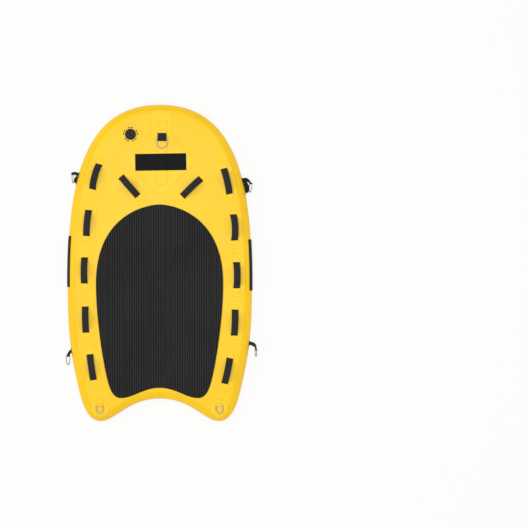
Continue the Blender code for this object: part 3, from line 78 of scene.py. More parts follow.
# Layers of the hull wall and their heights. The rows over the rail's round start beside the seam of the
# skins, and WRAP is what the rail's two quarter turns add to a skin's flat size.
GAP = 0.0003
FABRIC = 0.0009
RAIL_RADIUS = 0.050
SKIN_OUT = RAIL_RADIUS - FABRIC - GAP
SHEET = 0.0017
SHEET_IN = SKIN_OUT + GAP
SHEET_OVER_BAND = RAIL_RADIUS + 2 * GAP
MID_Z = SHEET_IN + SHEET
DECK_Z = MID_Z + SKIN_OUT
PATCH_LOW = DECK_Z + GAP
PATCH_TOP = PATCH_LOW + FABRIC
SEAM_ANGLE = 0.2
RAIL_ROW = 7.5

# Rail bands
BAND_INSETS = (0.025, 0.037)
BAND_WIDENING = (0.15, 0.75)
BAND_JOINT_Y = 0.308
BAND_EDGE_ROWS = (0.0, 0.0007, 0.0018, 0.0045)
BAND_MIDDLE_ROWS = 14
BAND_END_ROW = 0.0009
BAND_END_CLEARANCE = 0.004
BAND_BEVEL = 0.0003
BAND_BEVEL_STEPS = 2
BAND_BEVEL_ANGLE = 50.0

# Black sheets under the hull
SHEET_STEP_DOWN = (-75.6, -84.0)
SHEET_JOINT_Y = 0.129
SHEET_EDGE_ROW = 0.0008
SKID_BORDER = (0.009, 0.017)
SKID_WIDENING = (0.10, 0.60)
SKID_STEP = 0.0026
TAIL_BORDERS = (0.033, 0.019, 0.043)
TAIL_NARROWING = (0.12, 0.36)
TAIL_WIDENING = (0.40, 0.62)
TAIL_STEP = 0.009
TAIL_ROW = 0.006
TAIL_EXTRA_ROWS = 4

# Lines of points along the skid sheet's ribs, and how sharp its furrows are
RIB_LINES = 6
RIB_POWER = 1.5
LINE_LEAST = 0.004
LINE_CLEARANCE = 0.0002

# Deck pad
PAD_TOP_Y = 0.333
PAD_TOP_HANDLE = 0.070
PAD_WIDEST = (0.361, -0.115)
PAD_WIDEST_HANDLES_Y = (0.280, -0.300)
PAD_SIDE = (0.300, -0.645)
PAD_SIDE_LEAN = (-0.223, -0.975)
PAD_SIDE_HANDLES = (0.120, 0.075)
PAD_LOBE = (0.2185, -0.765)
PAD_LOBE_HANDLES = (0.045, 0.0685)
PAD_FOOT_Y = -0.707
PAD_FOOT_HANDLE = 0.090
PAD_STEPS = (90, 56, 36, 32)
PAD_ROUND = 0.0016
PAD_ROUND_ROW = 0.0005
PAD_EDGE = (0.55, 0.45)

# A groove of the pad: share of its width from the middle, and share of its depth
PAD_GROOVE = ((-0.5, 0.0), (-0.32, 0.3), (-0.18, 0.85), (0.0, 1.0), (0.18, 0.85), (0.32, 0.3), (0.5, 0.0))

# Webbing handles: name, centre x and y, tilt of the fore end towards the middle in degrees, crown's shift
HANDLES = (
    ("port_1", -0.362, 0.491, -15.0, -0.005),
    ("port_2", -0.409, 0.228, -5.0, -0.0015),
    ("port_3", -0.426, -0.041, -0.5, -0.0015),
    ("port_4", -0.420, -0.320, 1.5, 0.0),
    ("port_5", -0.385, -0.590, 8.0, 0.0),
    ("starboard_1", 0.381, 0.465, 13.0, 0.003),
    ("starboard_2", 0.422, 0.203, 2.5, 0.007),
    ("starboard_3", 0.437, -0.068, 0.5, 0.004),
    ("starboard_4", 0.426, -0.337, -2.0, 0.002),
    ("starboard_5", 0.384, -0.611, -12.0, 0.002),
    ("bow_port", -0.171, 0.436, 41.0, 0.0),
    ("bow_starboard", 0.182, 0.430, -46.0, -0.001),
)
HANDLE_RISE_START = 0.0740
HANDLE_RISE_HANDLES = (0.0595, 0.0560)
HANDLE_FLAT_END = 0.080
HANDLE_HIDDEN_END = 0.087
HANDLE_STEPS = 24
HANDLE_TWIST = 2.5
HANDLE_PATCH_PITCH = 0.0032
SLIT = (0.0655, 0.0740)
SLIT_CLEARANCE = 0.0006
TONGUE_END = 0.100
TONGUE_HALF = 0.0235
TONGUE_SLOPE = 0.0055

# Bow patch, webbing and plate
BOW_X = 0.010
BOW_PATCH_Y = 0.575
BOW_PATCH_HALF = 0.197
BOW_PATCH_CORNER = 0.012
BOW_PATCH_TIP = 0.4
BOW_PATCH_PITCH = 0.0042
BOW_HEAD_STEPS = 25
BOW_HEAD_REACH = 0.15
BOW_STRIP_HALF = 0.0605
BOW_SEAM_GAP = 0.0012
BOW_WEBBING_X = 0.014
BOW_WEBBING_WIDTH = 0.050
BOW_WEBBING_Y = (0.450, 0.800)
BOW_WEBBING_HIDDEN = 0.03
BOW_WEBBING_STEPS = 12
BOW_WINDOW_Y = (0.693, 0.739)
BOW_EYE_Y = 0.710
BOW_RING_RISE = 0.0070
BOW_RIDGE_SLOPE = 0.0085
PLATE_CENTRE = (0.0065, 0.574)
PLATE_SIZE = (0.290, 0.096)
PLATE_TURN = 0.9
PLATE_THICKNESS = 0.001
PLATE_CORNER = 0.003
PLATE_EDGE = 0.0008
PLATE_PITCH = 0.004

# How the bow webbing comes up in its window and goes down again, as two cubic curves: places measured from
# the window's ends with heights, and places at the crown measured from the eye, in radii round bar and webbing
BOW_RISE_FEET = ((0.004, 0.0004), (0.012, 0.001))
BOW_FALL_FEET = ((0.0065, 0.0012), (0.003, 0.0004))
BOW_WINDOW_CLEARANCE = 0.001
BOW_CROWN_BEFORE = (2.2, 1.0)
BOW_CROWN_AFTER = (0.6, 1.5)

# Rings: half width and depth to the wire's centre, wire radius, and the share of the depth that is straight.
# The corners at the bar have a share of the half width as their radius. The bar's joint has a low weld bead.
BOW_RING = (0.029, 0.058, 0.0030, 0.48)
TAIL_RING = (0.0197, 0.0440, 0.00275, 0.30)
SIDE_RING = (0.0223, 0.0500, 0.00275, 0.30)
RING_CORNER = 0.20
RING_SIDES = 16
RING_CORNER_STEP = 15
RING_ARC_STEPS = 36
RING_BEAD = 0.00022
RING_BEAD_PLACE = 4
EYE_CLEARANCE = 0.0003

# Webbing folded round a ring's bar: places across it, how thin its selvedges are, and how far it goes round
# the bar to either side of its farthest point, in degrees
FOLD_SHARES = (-1.0, -0.9, -0.45, 0.0, 0.45, 0.9, 1.0)
FOLD_SELVEDGE = 0.5
FOLD_WRAP = 142.0
FOLD_STEPS = 20

# Tail rings: name, patch centre, turn in degrees
TAIL_RINGS = (("port", -0.339, -0.827, 0.0), ("starboard", 0.338, -0.827, 8.0))
TAIL_PATCH_RADIUS = 0.054
TAIL_PATCH_CLEARANCE = 0.0006
TAIL_PATCH_PITCH = 0.0030
TAIL_EYE_AHEAD = 0.018
TAIL_EYE_RISE = 0.0058
TAIL_STRAP_WIDTH = 0.031
TAIL_STRAP_LAYER = 0.0010
TAIL_STRAP_END = 0.058
TAIL_STRAP_HIDDEN = 0.004
TAIL_STRAP_BEND = (0.45, 0.0002)
TAIL_RIDGE_SLOPE = 0.005
TAIL_SLIT = (0.0240, 0.0315)
TAIL_BLEND = (0.0385, 0.0450)
TAIL_RING_DROP = 1.6

# Side rings: name, side, root on the rail (y), eye, hanging direction, lean of the bar in degrees
SIDE_RINGS = (
    ("fore_port", -1, 0.5030, (-0.4955, 0.5050), (0.07, -1.0, 0.0), 12.0),
    ("fore_starboard", 1, 0.4705, (0.5180, 0.4530), (-0.11, -1.0, 0.0), 20.0),
    ("aft_port", -1, -0.4985, (-0.5225, -0.5280), (0.02, -1.0, 0.0), 23.0),
    ("aft_starboard", 1, -0.4560, (0.5465, -0.4865), (-0.02, -0.86, -0.51), 11.0),
)
# How each tab lies: lean of its root in degrees, how far it runs straight out, and where it turns to the bar
TAB_LIES = {
    "fore_port": (26.0, 0.60, 0.35, 0.90),
    "fore_starboard": (36.0, 0.60, 0.35, 0.90),
    "aft_port": (20.0, 0.28, 0.35, 0.90),
    "aft_starboard": (30.0, 0.60, 0.60, 1.00),
}
TAB_WIDTH = 0.038
TAB_LAYER = 0.0014
TAB_FOOT_HALF = 0.016
TAB_FOOT_THICKNESS = 0.0015
TAB_FOOT_ANGLES = (-25.0, 20.5)
TAB_FOOT_ROWS = (0.0016, 1.8, 8)
TAB_ROOT_DROP = 0.003
TAB_ROOT_BEND = 0.4
TAB_STEPS = 16

# From where a tab that hangs in a curl comes to its eye, measured from the eye
TAB_CURL = {"fore_port": (-0.0125, 0.0190)}

# Tail of a forward tab: fore and aft foot (y), height of its arch off the rail, lean of its crown in degrees,
# and the power of its rise, which is lower for a fuller arch
TAB_LOOPS = {
    "fore_port": (0.500, 0.448, 0.0068, 22.0, 0.40),
    "fore_starboard": (0.469, 0.390, 0.0132, 53.0, 0.60),
}
LOOP_WIDTH = 0.034
LOOP_THICKNESS = 0.0016
LOOP_FOOT = 0.007
LOOP_STEPS = 24
LOOP_LEANS_BY = 0.9

# Side panels on the rail: name, side, fore and aft ends
SIDE_PANELS = (("side_panel_port", -1, 0.156, -0.135), ("side_panel_starboard", 1, 0.136, -0.156))
PANEL_ANGLE = 45.0
PANEL_THICKNESS = 0.003
PANEL_RUN_ROWS = (0.0030, 40)
PANEL_ANGLE_ROWS = (3.2, 16)
STRIP_EDGE_SHARE = 0.35

# Inflation valve, heights measured from the deck
VALVE_CENTRE = (-0.165, 0.731)
VALVE_PATCH_RADIUS = 0.058
VALVE_PATCH_PITCH = 0.005
VALVE_HOLE_RADIUS = 0.0213
BARREL = (0.0165, 0.0210, 0.038)
BODY_ROUND = 0.0008
FLANGE = (0.031, 0.0028, 0.0060)
FLANGE_GROOVE = (0.0006, 0.0031, 0.0035, 0.0005)
NECK = (0.0220, 0.0090)
WEB = (-0.0120, -0.0090)
STEM_RADIUS = 0.0021
AIR_HOLE_RADIUS = 0.0035
AIR_HOLE_ORBIT = 0.0095
AIR_HOLES = 4
AIR_HOLE_STEPS = 32
AIR_HOLE_MARGIN = 0.001
PLUNGER_HEAD = (0.0055, 0.0010, 0.0030)
PLUNGER_DISC = (0.0195, 0.003)
PLUNGER_TAIL = 0.002
PLUNGER_ROUND = 0.0006
PLUNGER_STEPS = 64
SPRING_RADIUS = 0.0040
SPRING_WIRE = 0.0004
SPRING_TURNS = 4
SPRING_STEPS = 24
SPRING_SIDES = 10
SEAL_RADIUS = 0.0193
SEAL_WIRE = 0.0012
SEAL_SIDES = 12
CAP_RADIUS = 0.027
CAP_HEIGHTS = (0.0066, 0.0120, 0.0165)
CAP_BORE = 0.0226
CAP_ROUND = 0.0007
CAP_STEPS = 144
CAP_WALL_MARGINS = (0.0003, 0.001)
CAP_FLUTE_EVERY = 6
CAP_FLUTE_DEPTH = 0.0005
GRIP_SIZE = (0.042, 0.008)
GRIP_CORNER = 0.42
GRIP_TAPER = 0.008
GRIP_TOP = 0.0205
GRIP_TURN = 12.0
ROUND_STEPS = 96

# The cap's edge seen in section: how far in from its radius, and how far down from its top
CAP_EDGE = ((0.0, 0.0008), (0.0014, 0.0), (0.0036, 0.0), (0.0042, 0.0007))

# The cap's grip from its foot to its top: 1 at full size and less where it draws in, with the height
GRIP_LEVELS = (
    (1.0, CAP_HEIGHTS[2] - 0.0012),
    (1.0, GRIP_TOP - 0.0016),
    (0.94, GRIP_TOP - 0.0005),
    (0.82, GRIP_TOP),
)

# Marks round the valve: ends and half width of a tick, and in degrees the turn from tick to tick, the turn
# between a pair's two groups and the place of the first pair
TICK_RING = (0.0366, 0.0419)
TICK_HALF_WIDTH = 0.00125
TICK_TURN = 4.0
TICK_PAIR_TURN = 26.0
TICK_START = 90.0
TICK_HEIGHTS = (0.00002, 0.00012)

# Rounded edges of a thin sheet and of a turned profile, which take a share of a short edge at most, angles
# beyond which an edge stays sharp, and the fineness at which points count as one
EDGE_WIDTH = 0.0012
EDGE_SHARE = 0.12
EDGE_RING = 0.35
CORNER_SHARE = 0.45
CORNER_STEPS = 3
SHARP_ANGLE = 40.0
SHARP_ANGLE_FINE = 60.0
MICROMETRE = 1e6

# Camera and lamps: the frame of the photograph is PHOTO_WIDTH metres wide at the deck. A lamp has a place, a
# size and the setting of its power.
CAMERA_PLACE = (0.5925, -0.0045)
CAMERA_HEIGHT = 20.0
CAMERA_REACH = 100.0
PHOTO_WIDTH = 2.996
SENSOR = 36.0
FLOOR_DROP = 0.0004
WHITE = (1.0, 1.0, 1.0, 1.0)
LAMPS = (
    ("overhead_softbox", (-0.2, 0.3, 5.4), 2.4, "key_power"),
    ("port_window", (-3.4, 0.4, 3.4), 1.3, "fill_power"),
)


# Plan geometry


def bezier(start, leave, arrive, end, steps):
    """Points of a cubic curve and its direction at each."""
    t = np.linspace(0.0, 1.0, steps + 1)[:, None]
    a, b, c, d = (np.array(p, float) for p in (start, leave, arrive, end))
    points = (1 - t) ** 3 * a + 3 * (1 - t) ** 2 * t * b + 3 * (1 - t) * t * t * c + t**3 * d
    ways = (1 - t) ** 2 * (b - a) + 2 * (1 - t) * t * (c - b) + t * t * (d - c)
    return points, ways


def ease(value, low, high):
    """0 up to low, 1 from high on, and a smooth rise between them."""
    t = max(0.0, min(1.0, (value - low) / (high - low)))
    return t * t * (3 - 2 * t)


def inset_angle(inset):
    """Angle on the rail's round that lies a distance in from the outline."""
    return degrees(acos((RAIL_RADIUS - inset) / RAIL_RADIUS))


def inside_loop(points, loop):
    """Which of the points lie inside a closed loop."""
    points, a = np.asarray(points, float), np.asarray(loop, float)
    b = np.roll(a, -1, axis=0)
    x, y = points[:, 0, None], points[:, 1, None]
    crosses = (a[:, 1] > y) != (b[:, 1] > y)
    rise = np.where(b[:, 1] == a[:, 1], 1.0, b[:, 1] - a[:, 1])
    left = x < a[:, 0] + (y - a[:, 1]) / rise * (b[:, 0] - a[:, 0])
    return (crosses & left).sum(axis=1) % 2 == 1


def edge_distance(points, loops):
    """Distance of each point from the nearest edge of the loops."""
    points = np.asarray(points, float)[:, :2]
    best = np.full(len(points), np.inf)
    for loop in loops:
        a = np.asarray(loop, float)[:, :2]
        run = np.roll(a, -1, axis=0) - a
        size = np.maximum((run**2).sum(axis=1), 1e-16)
        for i in range(0, len(points), 2000):
            away = points[i : i + 2000, None, :] - a
            share = np.clip((away * run).sum(axis=2) / size, 0.0, 1.0)
            gap = away - share[:, :, None] * run
            best[i : i + 2000] = np.minimum(best[i : i + 2000], np.sqrt((gap**2).sum(axis=2).min(axis=1)))
    return best


def inset_loop(loop, depth):
    """A counter-clockwise loop moved inwards."""
    a = np.asarray(loop, float)
    run = np.roll(a, -1, axis=0) - np.roll(a, 1, axis=0)
    run /= np.maximum(np.linalg.norm(run, axis=1), 1e-12)[:, None]
    return a + np.stack((-run[:, 1], run[:, 0]), axis=1) * depth


def circle(centre, radius, steps):
    turns = [2 * pi * i / steps for i in range(steps)]
    return [(centre[0] + radius * cos(a), centre[1] + radius * sin(a)) for a in turns]


def rounded_rectangle(width, length, corner, steps=8):
    """Counter-clockwise outline round the origin."""
    points = []
    for k, (sx, sy) in enumerate(((1, 1), (-1, 1), (-1, -1), (1, -1))):
        for i in range(steps + 1):
            a = pi / 2 * (k + i / steps)
            middle = (sx * (width / 2 - corner), sy * (length / 2 - corner))
            points.append((middle[0] + corner * cos(a), middle[1] + corner * sin(a)))
    return points


def divided(loop, step):
    """A loop with points added so that no edge is longer than step."""
    points = []
    for a, b in zip(loop, loop[1:] + loop[:1]):
        count = max(1, ceil(hypot(b[0] - a[0], b[1] - a[1]) / step))
        points += [(a[0] + (b[0] - a[0]) * i / count, a[1] + (b[1] - a[1]) * i / count) for i in range(count)]
    return points


def closed_line(loop):
    """A loop as a line of points that ends where it starts."""
    return list(map(tuple, loop)) + [tuple(loop[0])]


def plan_triangles(loops, lines, loose=()):
    """Triangles over the plan inside the first loop and outside the others, along the lines and through the
    loose points."""
    flat, edges = [], []
    for loop in loops:
        first = len(flat)
        flat += [Vector(p[:2]) for p in loop]
        edges += [(first + i, first + (i + 1) % len(loop)) for i in range(len(loop))]
    for line in lines:
        first = len(flat)
        flat += [Vector(p[:2]) for p in line]
        edges += [(first + i, first + i + 1) for i in range(len(line) - 1)]
    flat += [Vector(p[:2]) for p in loose]
    plan, _, found = delaunay_2d_cdt(flat, edges, [], 0, 1 / MICROMETRE)[:3]
    plan = np.array([tuple(p) for p in plan])
    middles = np.array([plan[list(face)].mean(axis=0) for face in found])
    kept = inside_loop(middles, loops[0])
    for hole in loops[1:]:
        kept &= ~inside_loop(middles, hole)
    triangles = [tuple(face) for face, keep in zip(found, kept) if keep]
    used = sorted({i for face in triangles for i in face})
    place = {old: new for new, old in enumerate(used)}
    return plan[used], [tuple(place[i] for i in face) for face in triangles]


def grid_inside(loops, pitch, margin):
    """Points of a square grid that lie inside the loops' plan, clear of their edges."""
    outer = np.asarray(loops[0], float)
    low, high = outer.min(axis=0), outer.max(axis=0)
    xs = np.arange(low[0] + pitch / 2, high[0], pitch)
    ys = np.arange(low[1] + pitch / 2, high[1], pitch)
    points = np.stack(np.meshgrid(xs, ys), axis=-1).reshape(-1, 2)
    kept = inside_loop(points, loops[0])
    for hole in loops[1:]:
        kept &= ~inside_loop(points, hole)
    points = points[kept]
    return points[edge_distance(points, loops) > margin]


class Rail:
    """The hull's outline as a counter-clockwise loop that starts in the tail notch."""

    def __init__(self):
        lean = Vector((-sin(SHOULDER_LEAN), -cos(SHOULDER_LEAN)))
        shoulder, tip, widest = Vector(SHOULDER), Vector(TIP), Vector(WIDEST)
        up, out = Vector((0.0, 1.0)), Vector((1.0, 0.0))
        curves = (
            ((0.0, NOSE_Y), (NOSE_HANDLE, NOSE_Y), widest + up * WIDEST_HANDLES[0], widest),
            (widest, widest - up * WIDEST_HANDLES[1], shoulder - lean * SHOULDER_HANDLES[0], shoulder),
            (shoulder, shoulder + lean * SHOULDER_HANDLES[1], tip + out * TIP_HANDLES[0], tip),
            (tip, tip - out * TIP_HANDLES[1], (NOTCH_HANDLE, NOTCH_Y), (0.0, NOTCH_Y)),
        )
        points, ways = np.empty((0, 2)), np.empty((0, 2))
        for curve, steps in zip(curves, OUTLINE_STEPS):
            p, w = bezier(*curve, steps)
            skip = 1 if len(points) else 0
            points, ways = np.vstack((points, p[skip:])), np.vstack((ways, w[skip:]))
        mirror = np.array((-1.0, 1.0))
        self.points = np.vstack((points[::-1], points[1:] * mirror))
        ways = np.vstack((-ways[::-1], ways[1:] * mirror))
        ways /= np.linalg.norm(ways, axis=1)[:, None]
        self.outward = np.stack((ways[:, 1], -ways[:, 0]), axis=1)
        self.centre = self.points - self.outward * RAIL_RADIUS
        steps = np.linalg.norm(np.diff(self.points, axis=0), axis=1)
        self.lengths = np.concatenate(((0.0,), np.cumsum(steps)))
        self.total = float(self.lengths[-1])

    def frame(self, s):
        """Centre of the rail's round and outward direction at a distance round the outline."""
        s = s % self.total if not 0.0 <= s <= self.total else s
        centre = Vector([np.interp(s, self.lengths, self.centre[:, k]) for k in (0, 1)])
        outward = Vector([np.interp(s, self.lengths, self.outward[:, k]) for k in (0, 1)])
        return centre, outward.normalized()

    def at_y(self, side, y):
        """Distance round the outline of a point on one side's rail, forward of the shoulder."""
        nose = len(self.points) // 2
        rows = range(1, nose + 1) if side > 0 else range(nose + 1, len(self.points))
        for i in rows:
            a, b = self.points[i - 1], self.points[i]
            beside = min(abs(a[0]), abs(b[0])) > WIDEST[0] * RAIL_SHARE
            if beside and (a[1] - y) * (b[1] - y) <= 0 and a[1] != b[1]:
                before, after = self.lengths[i - 1], self.lengths[i]
                return float(before + (y - a[1]) / (b[1] - a[1]) * (after - before))
        raise ValueError(f"no rail at y {y}")

    def run(self, start, end, step):
        """Distances from start to end, going round counter-clockwise and past the notch if need be."""
        span = end - start if end > start else end + self.total - start
        count = ceil(span / step)
        return [start + span * i / count for i in range(count + 1)]

    def point(self, s, angle, radius):
        """A point of the rail's round, at an angle above the level of its centre."""
        centre, outward = self.frame(s)
        plan = centre + outward * radius * cos(radians(angle))
        return Vector((plan.x, plan.y, MID_Z + radius * sin(radians(angle))))

    def flat(self, s, angle):
        """Where a point of a sheet wrapped down the rail lay when the sheet was flat."""
        centre, outward = self.frame(s)
        return centre + outward * RAIL_RADIUS * radians(90.0 - abs(angle))


RAIL = Rail()


# Meshes and pieces


class Sheet:
    """Points, faces, flat coordinates and edge distances of a piece while it is built."""

    def __init__(self):
        self.points, self.faces, self.cut, self.rim = [], [], [], []

    def add(self, point, cut=(0.0, 0.0), rim=1.0):
        self.points.append(tuple(point))
        self.cut.append(tuple(cut)[:2])
        self.rim.append(rim)
        return len(self.points) - 1

    def join(self, other):
        first = len(self.points)
        self.points += other.points
        self.cut += other.cut
        self.rim += other.rim
        self.faces += [tuple(i + first for i in face) for face in other.faces]
        return self


def make_piece(name, sheet, kind, nodes=(), body="hull", sharp=SHARP_ANGLE):
    """An object from a sheet's points and faces, with one kind of finish. It rides on a body and stands for
    its CAD nodes."""
    mesh = bpy.data.meshes.new(name)
    mesh.from_pydata(sheet.points, [], sheet.faces)
    rim = mesh.attributes.new("rim", "FLOAT", "POINT")
    rim.data.foreach_set("value", sheet.rim)
    corners = np.array([sheet.cut[loop.vertex_index] for loop in mesh.loops], dtype=np.float32)
    mesh.uv_layers.new(name="flat").uv.foreach_set("vector", corners.ravel())
    turned_out = bmesh.new()
    turned_out.from_mesh(mesh)
    bmesh.ops.recalc_face_normals(turned_out, faces=turned_out.faces)
    turned_out.to_mesh(mesh)
    turned_out.free()
    mesh.shade_smooth()
    mesh.set_sharp_from_angle(angle=radians(sharp))
    mesh.materials.append(finish_for(kind))
    item = bpy.data.objects.new(name, mesh)
    bpy.context.scene.collection.objects.link(item)
    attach(item, body)
    if nodes:
        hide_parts(*nodes)
    return item


def soften_edges(item):
    modifier = item.modifiers.new("soft edges", "BEVEL")
    modifier.width = BAND_BEVEL
    modifier.segments = BAND_BEVEL_STEPS
    modifier.limit_method = "ANGLE"
    modifier.angle_limit = radians(BAND_BEVEL_ANGLE)
    modifier.harden_normals = False


def mesh_area(sheet):
    """Area of a sheet's faces, which is its cut area: coated fabric lies over the rail without stretching."""
    total = 0.0
    for face in sheet.faces:
        first, *corners = [Vector(sheet.points[i]) for i in face]
        total += sum((a - first).cross(b - first).length / 2 for a, b in zip(corners, corners[1:]))
    return total


def open_sides(faces):
    """Directed edges that only one of the faces has."""
    sides = {(a, b) for face in faces for a, b in zip(face, face[1:] + face[:1])}
    return [(a, b) for a, b in sides if (b, a) not in sides]


def layered(plan, triangles, under, over, distance):
    """A closed sheet over a plan, from the heights of its underside and top."""
    sheet, count = Sheet(), len(plan)
    for level in (under, over):
        for p, z, edge in zip(plan, level, distance):
            sheet.add((p[0], p[1], z), p, float(edge))
    sheet.faces = [tri[::-1] for tri in triangles] + [tuple(i + count for i in tri) for tri in triangles]
    sheet.faces += [(a, b, b + count, a + count) for a, b in open_sides(triangles)]
    return sheet


def closed_sheet(loops, low, thickness, pitch, rim=EDGE_WIDTH):
    """A thin sheet with rounded edges. low turns points of the plan into heights of its underside."""
    loops = [divided([tuple(p) for p in loop], pitch * 1.2) for loop in loops]
    rings = [closed_line(inset_loop(loops[0], depth)) for depth in (rim * EDGE_RING, rim)]
    plan, triangles = plan_triangles(loops, rings, grid_inside(loops, pitch, pitch * 0.7))
    distance = edge_distance(plan, loops)
    round_edge = np.clip(distance / rim, 0.0, 1.0)
    rise = thickness * (EDGE_SHARE + (1 - EDGE_SHARE) * np.sqrt(1 - (1 - round_edge) ** 2))
    under = low(plan)
    return layered(plan, triangles, under, under + rise, distance)


def placed(sheet, place):
    """A copy of a sheet, moved by a matrix."""
    moved = Sheet()
    moved.points = [tuple(place @ Vector(p)) for p in sheet.points]
    moved.faces, moved.cut, moved.rim = list(sheet.faces), list(sheet.cut), list(sheet.rim)
    return moved


def swept(sections, closed=False, cuts=None):
    """A closed body through sections that have the same number of points."""
    sheet = Sheet()
    count, width = len(sections), len(sections[0])
    for i, section in enumerate(sections):
        for k, point in enumerate(section):
            sheet.add(point, cuts[i][k] if cuts else (0.0, 0.0))
    for i in range(count if closed else count - 1):
        j = (i + 1) % count
        for k in range(width):
            n = (k + 1) % width
            sheet.faces.append((i * width + k, i * width + n, j * width + n, j * width + k))
    if not closed:
        sheet.faces.append(tuple(range(width)))
        sheet.faces.append(tuple((count - 1) * width + k for k in range(width)))
    return sheet


def turned(profile, centre, steps=ROUND_STEPS, fluted=()):
    """A closed profile of (radius, height above deck) turned round an upright axis. Its fluted points are
    drawn in at every few steps."""
    sheet, width = Sheet(), len(profile)
    for i in range(steps):
        a = 2 * pi * i / steps
        for k, (r, h) in enumerate(profile):
            if k in fluted and i % CAP_FLUTE_EVERY == 0:
                r -= CAP_FLUTE_DEPTH
            sheet.add((centre[0] + r * cos(a), centre[1] + r * sin(a), DECK_Z + h), (a * r, h))
    for i in range(steps):
        j = (i + 1) % steps
        for k in range(width):
            n = (k + 1) % width
            if profile[k][0] > 0 or profile[n][0] > 0:
                corners = [i * width + k, i * width + n, j * width + n, j * width + k]
                if profile[k][0] == 0:
                    corners = corners[:3]
                elif profile[n][0] == 0:
                    corners = [corners[0], corners[1], corners[3]]
                sheet.faces.append(tuple(corners))
    return weld(sheet)


def weld(sheet):
    """The sheet with points in one place made one."""
    found, place, kept = {}, [], Sheet()
    for point, cut, rim in zip(sheet.points, sheet.cut, sheet.rim):
        key = tuple(round(v * MICROMETRE) for v in point)
        if key not in found:
            found[key] = kept.add(point, cut, rim)
        place.append(found[key])
    for face in sheet.faces:
        corners = []
        for i in face:
            if place[i] not in corners:
                corners.append(place[i])
        if len(corners) > 2:
            kept.faces.append(tuple(corners))
    return kept


def rounded_profile(profile, radius):
    """A closed profile with each corner off the axis rounded, by less where its edges are short."""
    rounded, count = [], len(profile)
    for i, corner in enumerate(profile):
        p = Vector(corner)
        before, after = Vector(profile[i - 1]) - p, Vector(profile[(i + 1) % count]) - p
        r = min(radius, before.length * CORNER_SHARE, after.length * CORNER_SHARE)
        if p.x == 0:
            rounded.append(tuple(p))
            continue
        a, b = p + before.normalized() * r, p + after.normalized() * r
        for k in range(CORNER_STEPS + 1):
            t = k / CORNER_STEPS
            rounded.append(tuple((1 - t) ** 2 * a + 2 * (1 - t) * t * p + t * t * b))
    return rounded


# Finishes


class Finish:
    """A material with a Principled shader and the nodes that feed it."""

    def __init__(self, name, roughness, metallic=0.0, specular=0.5, sheen=0.0):
        self.material = bpy.data.materials.new(name)
        self.material.use_nodes = True
        self.tree = self.material.node_tree
        self.shader = self.tree.nodes["Principled BSDF"]
        self.shader.inputs["Roughness"].default_value = roughness
        self.shader.inputs["Metallic"].default_value = metallic
        self.shader.inputs["Specular IOR Level"].default_value = specular
        self.shader.inputs["Sheen Weight"].default_value = sheen
        coordinates = self.node("ShaderNodeTexCoord")
        self.object = coordinates.outputs["Object"]
        self.flat = coordinates.outputs["UV"]

    def node(self, kind, inputs=None, **settings):
        made = self.tree.nodes.new(kind)
        for key, value in settings.items():
            setattr(made, key, value)
        for key, value in (inputs or {}).items():
            self.feed(made.inputs[key], value)
        return made

    def feed(self, socket, value):
        if isinstance(value, bpy.types.NodeSocket):
            self.tree.links.new(value, socket)
        else:
            socket.default_value = value

    def math(self, operation, a, b):
        return self.node("ShaderNodeMath", {0: a, 1: b}, operation=operation).outputs[0]

    def noise(self, vector, size, detail=2.0, roughness=0.5):
        """Noise with blotches of about the given size in metres."""
        inputs = {"Vector": vector, "Scale": 1 / size, "Detail": detail, "Roughness": roughness}
        return self.node("ShaderNodeTexNoise", inputs).outputs["Fac"]

    def drawn_out(self, scale, detail, roughness=0.5, size=1.0):
        """Noise with streaks, scaled by its own number along each axis."""
        vector = self.node("ShaderNodeMapping", {"Vector": self.object, "Scale": scale}).outputs[0]
        return self.noise(vector, size, detail, roughness)

    def bands(self, vector, pitch, way="X"):
        inputs = {"Vector": vector, "Scale": 2 * pi / 20 / pitch, "Distortion": 0.0}
        return self.node("ShaderNodeTexWave", inputs, bands_direction=way).outputs["Fac"]

    def lattice(self, vector, pitch):
        """Bands one way and the other, as in a plain weave."""
        return self.math("MAXIMUM", self.bands(vector, pitch, "X"), self.bands(vector, pitch, "Y"))

    def spread(self, value, low, high, first=0.0, last=1.0):
        """Numbers from low to high turned into first to last, smoothly and no further."""
        inputs = {"Value": value, "From Min": low, "From Max": high, "To Min": first, "To Max": last}
        return self.node("ShaderNodeMapRange", inputs, interpolation_type="SMOOTHSTEP").outputs["Result"]

    def mix(self, share, a, b):
        a, b = [(*c, 1.0) if isinstance(c, tuple) else c for c in (a, b)]
        return self.node("ShaderNodeMix", {0: share, 6: a, 7: b}, data_type="RGBA").outputs[2]

    def part_mix(self, mask, most, a, b):
        """The second colour over the first where a mask is, by the given share at most."""
        return self.mix(self.math("MULTIPLY", mask, most), a, b)

    def uneven(self, colour, size, dark, pale):
        """A colour that drifts between a dark and a pale shade in blotches of about the given size."""
        drift = self.spread(self.noise(self.object, size, 3.0), 0.3, 0.7)
        return self.mix(drift, shade(colour, dark), shade(colour, pale))

    def done(self, colour, height=None, distance=0.0, strength=1.0, roughness=None):
        """The material, with a colour, a relief of the given depth and a roughness where they are given."""
        self.feed(self.shader.inputs["Base Color"], (*colour, 1.0) if isinstance(colour, tuple) else colour)
        if height is not None:
            inputs = {"Height": height, "Distance": distance, "Strength": strength}
            self.feed(self.shader.inputs["Normal"], self.node("ShaderNodeBump", inputs).outputs[0])
        if roughness is not None:
            self.feed(self.shader.inputs["Roughness"], roughness)
        return self.material


def shade(colour, factor):
    return tuple(min(1.0, c * factor) for c in colour)


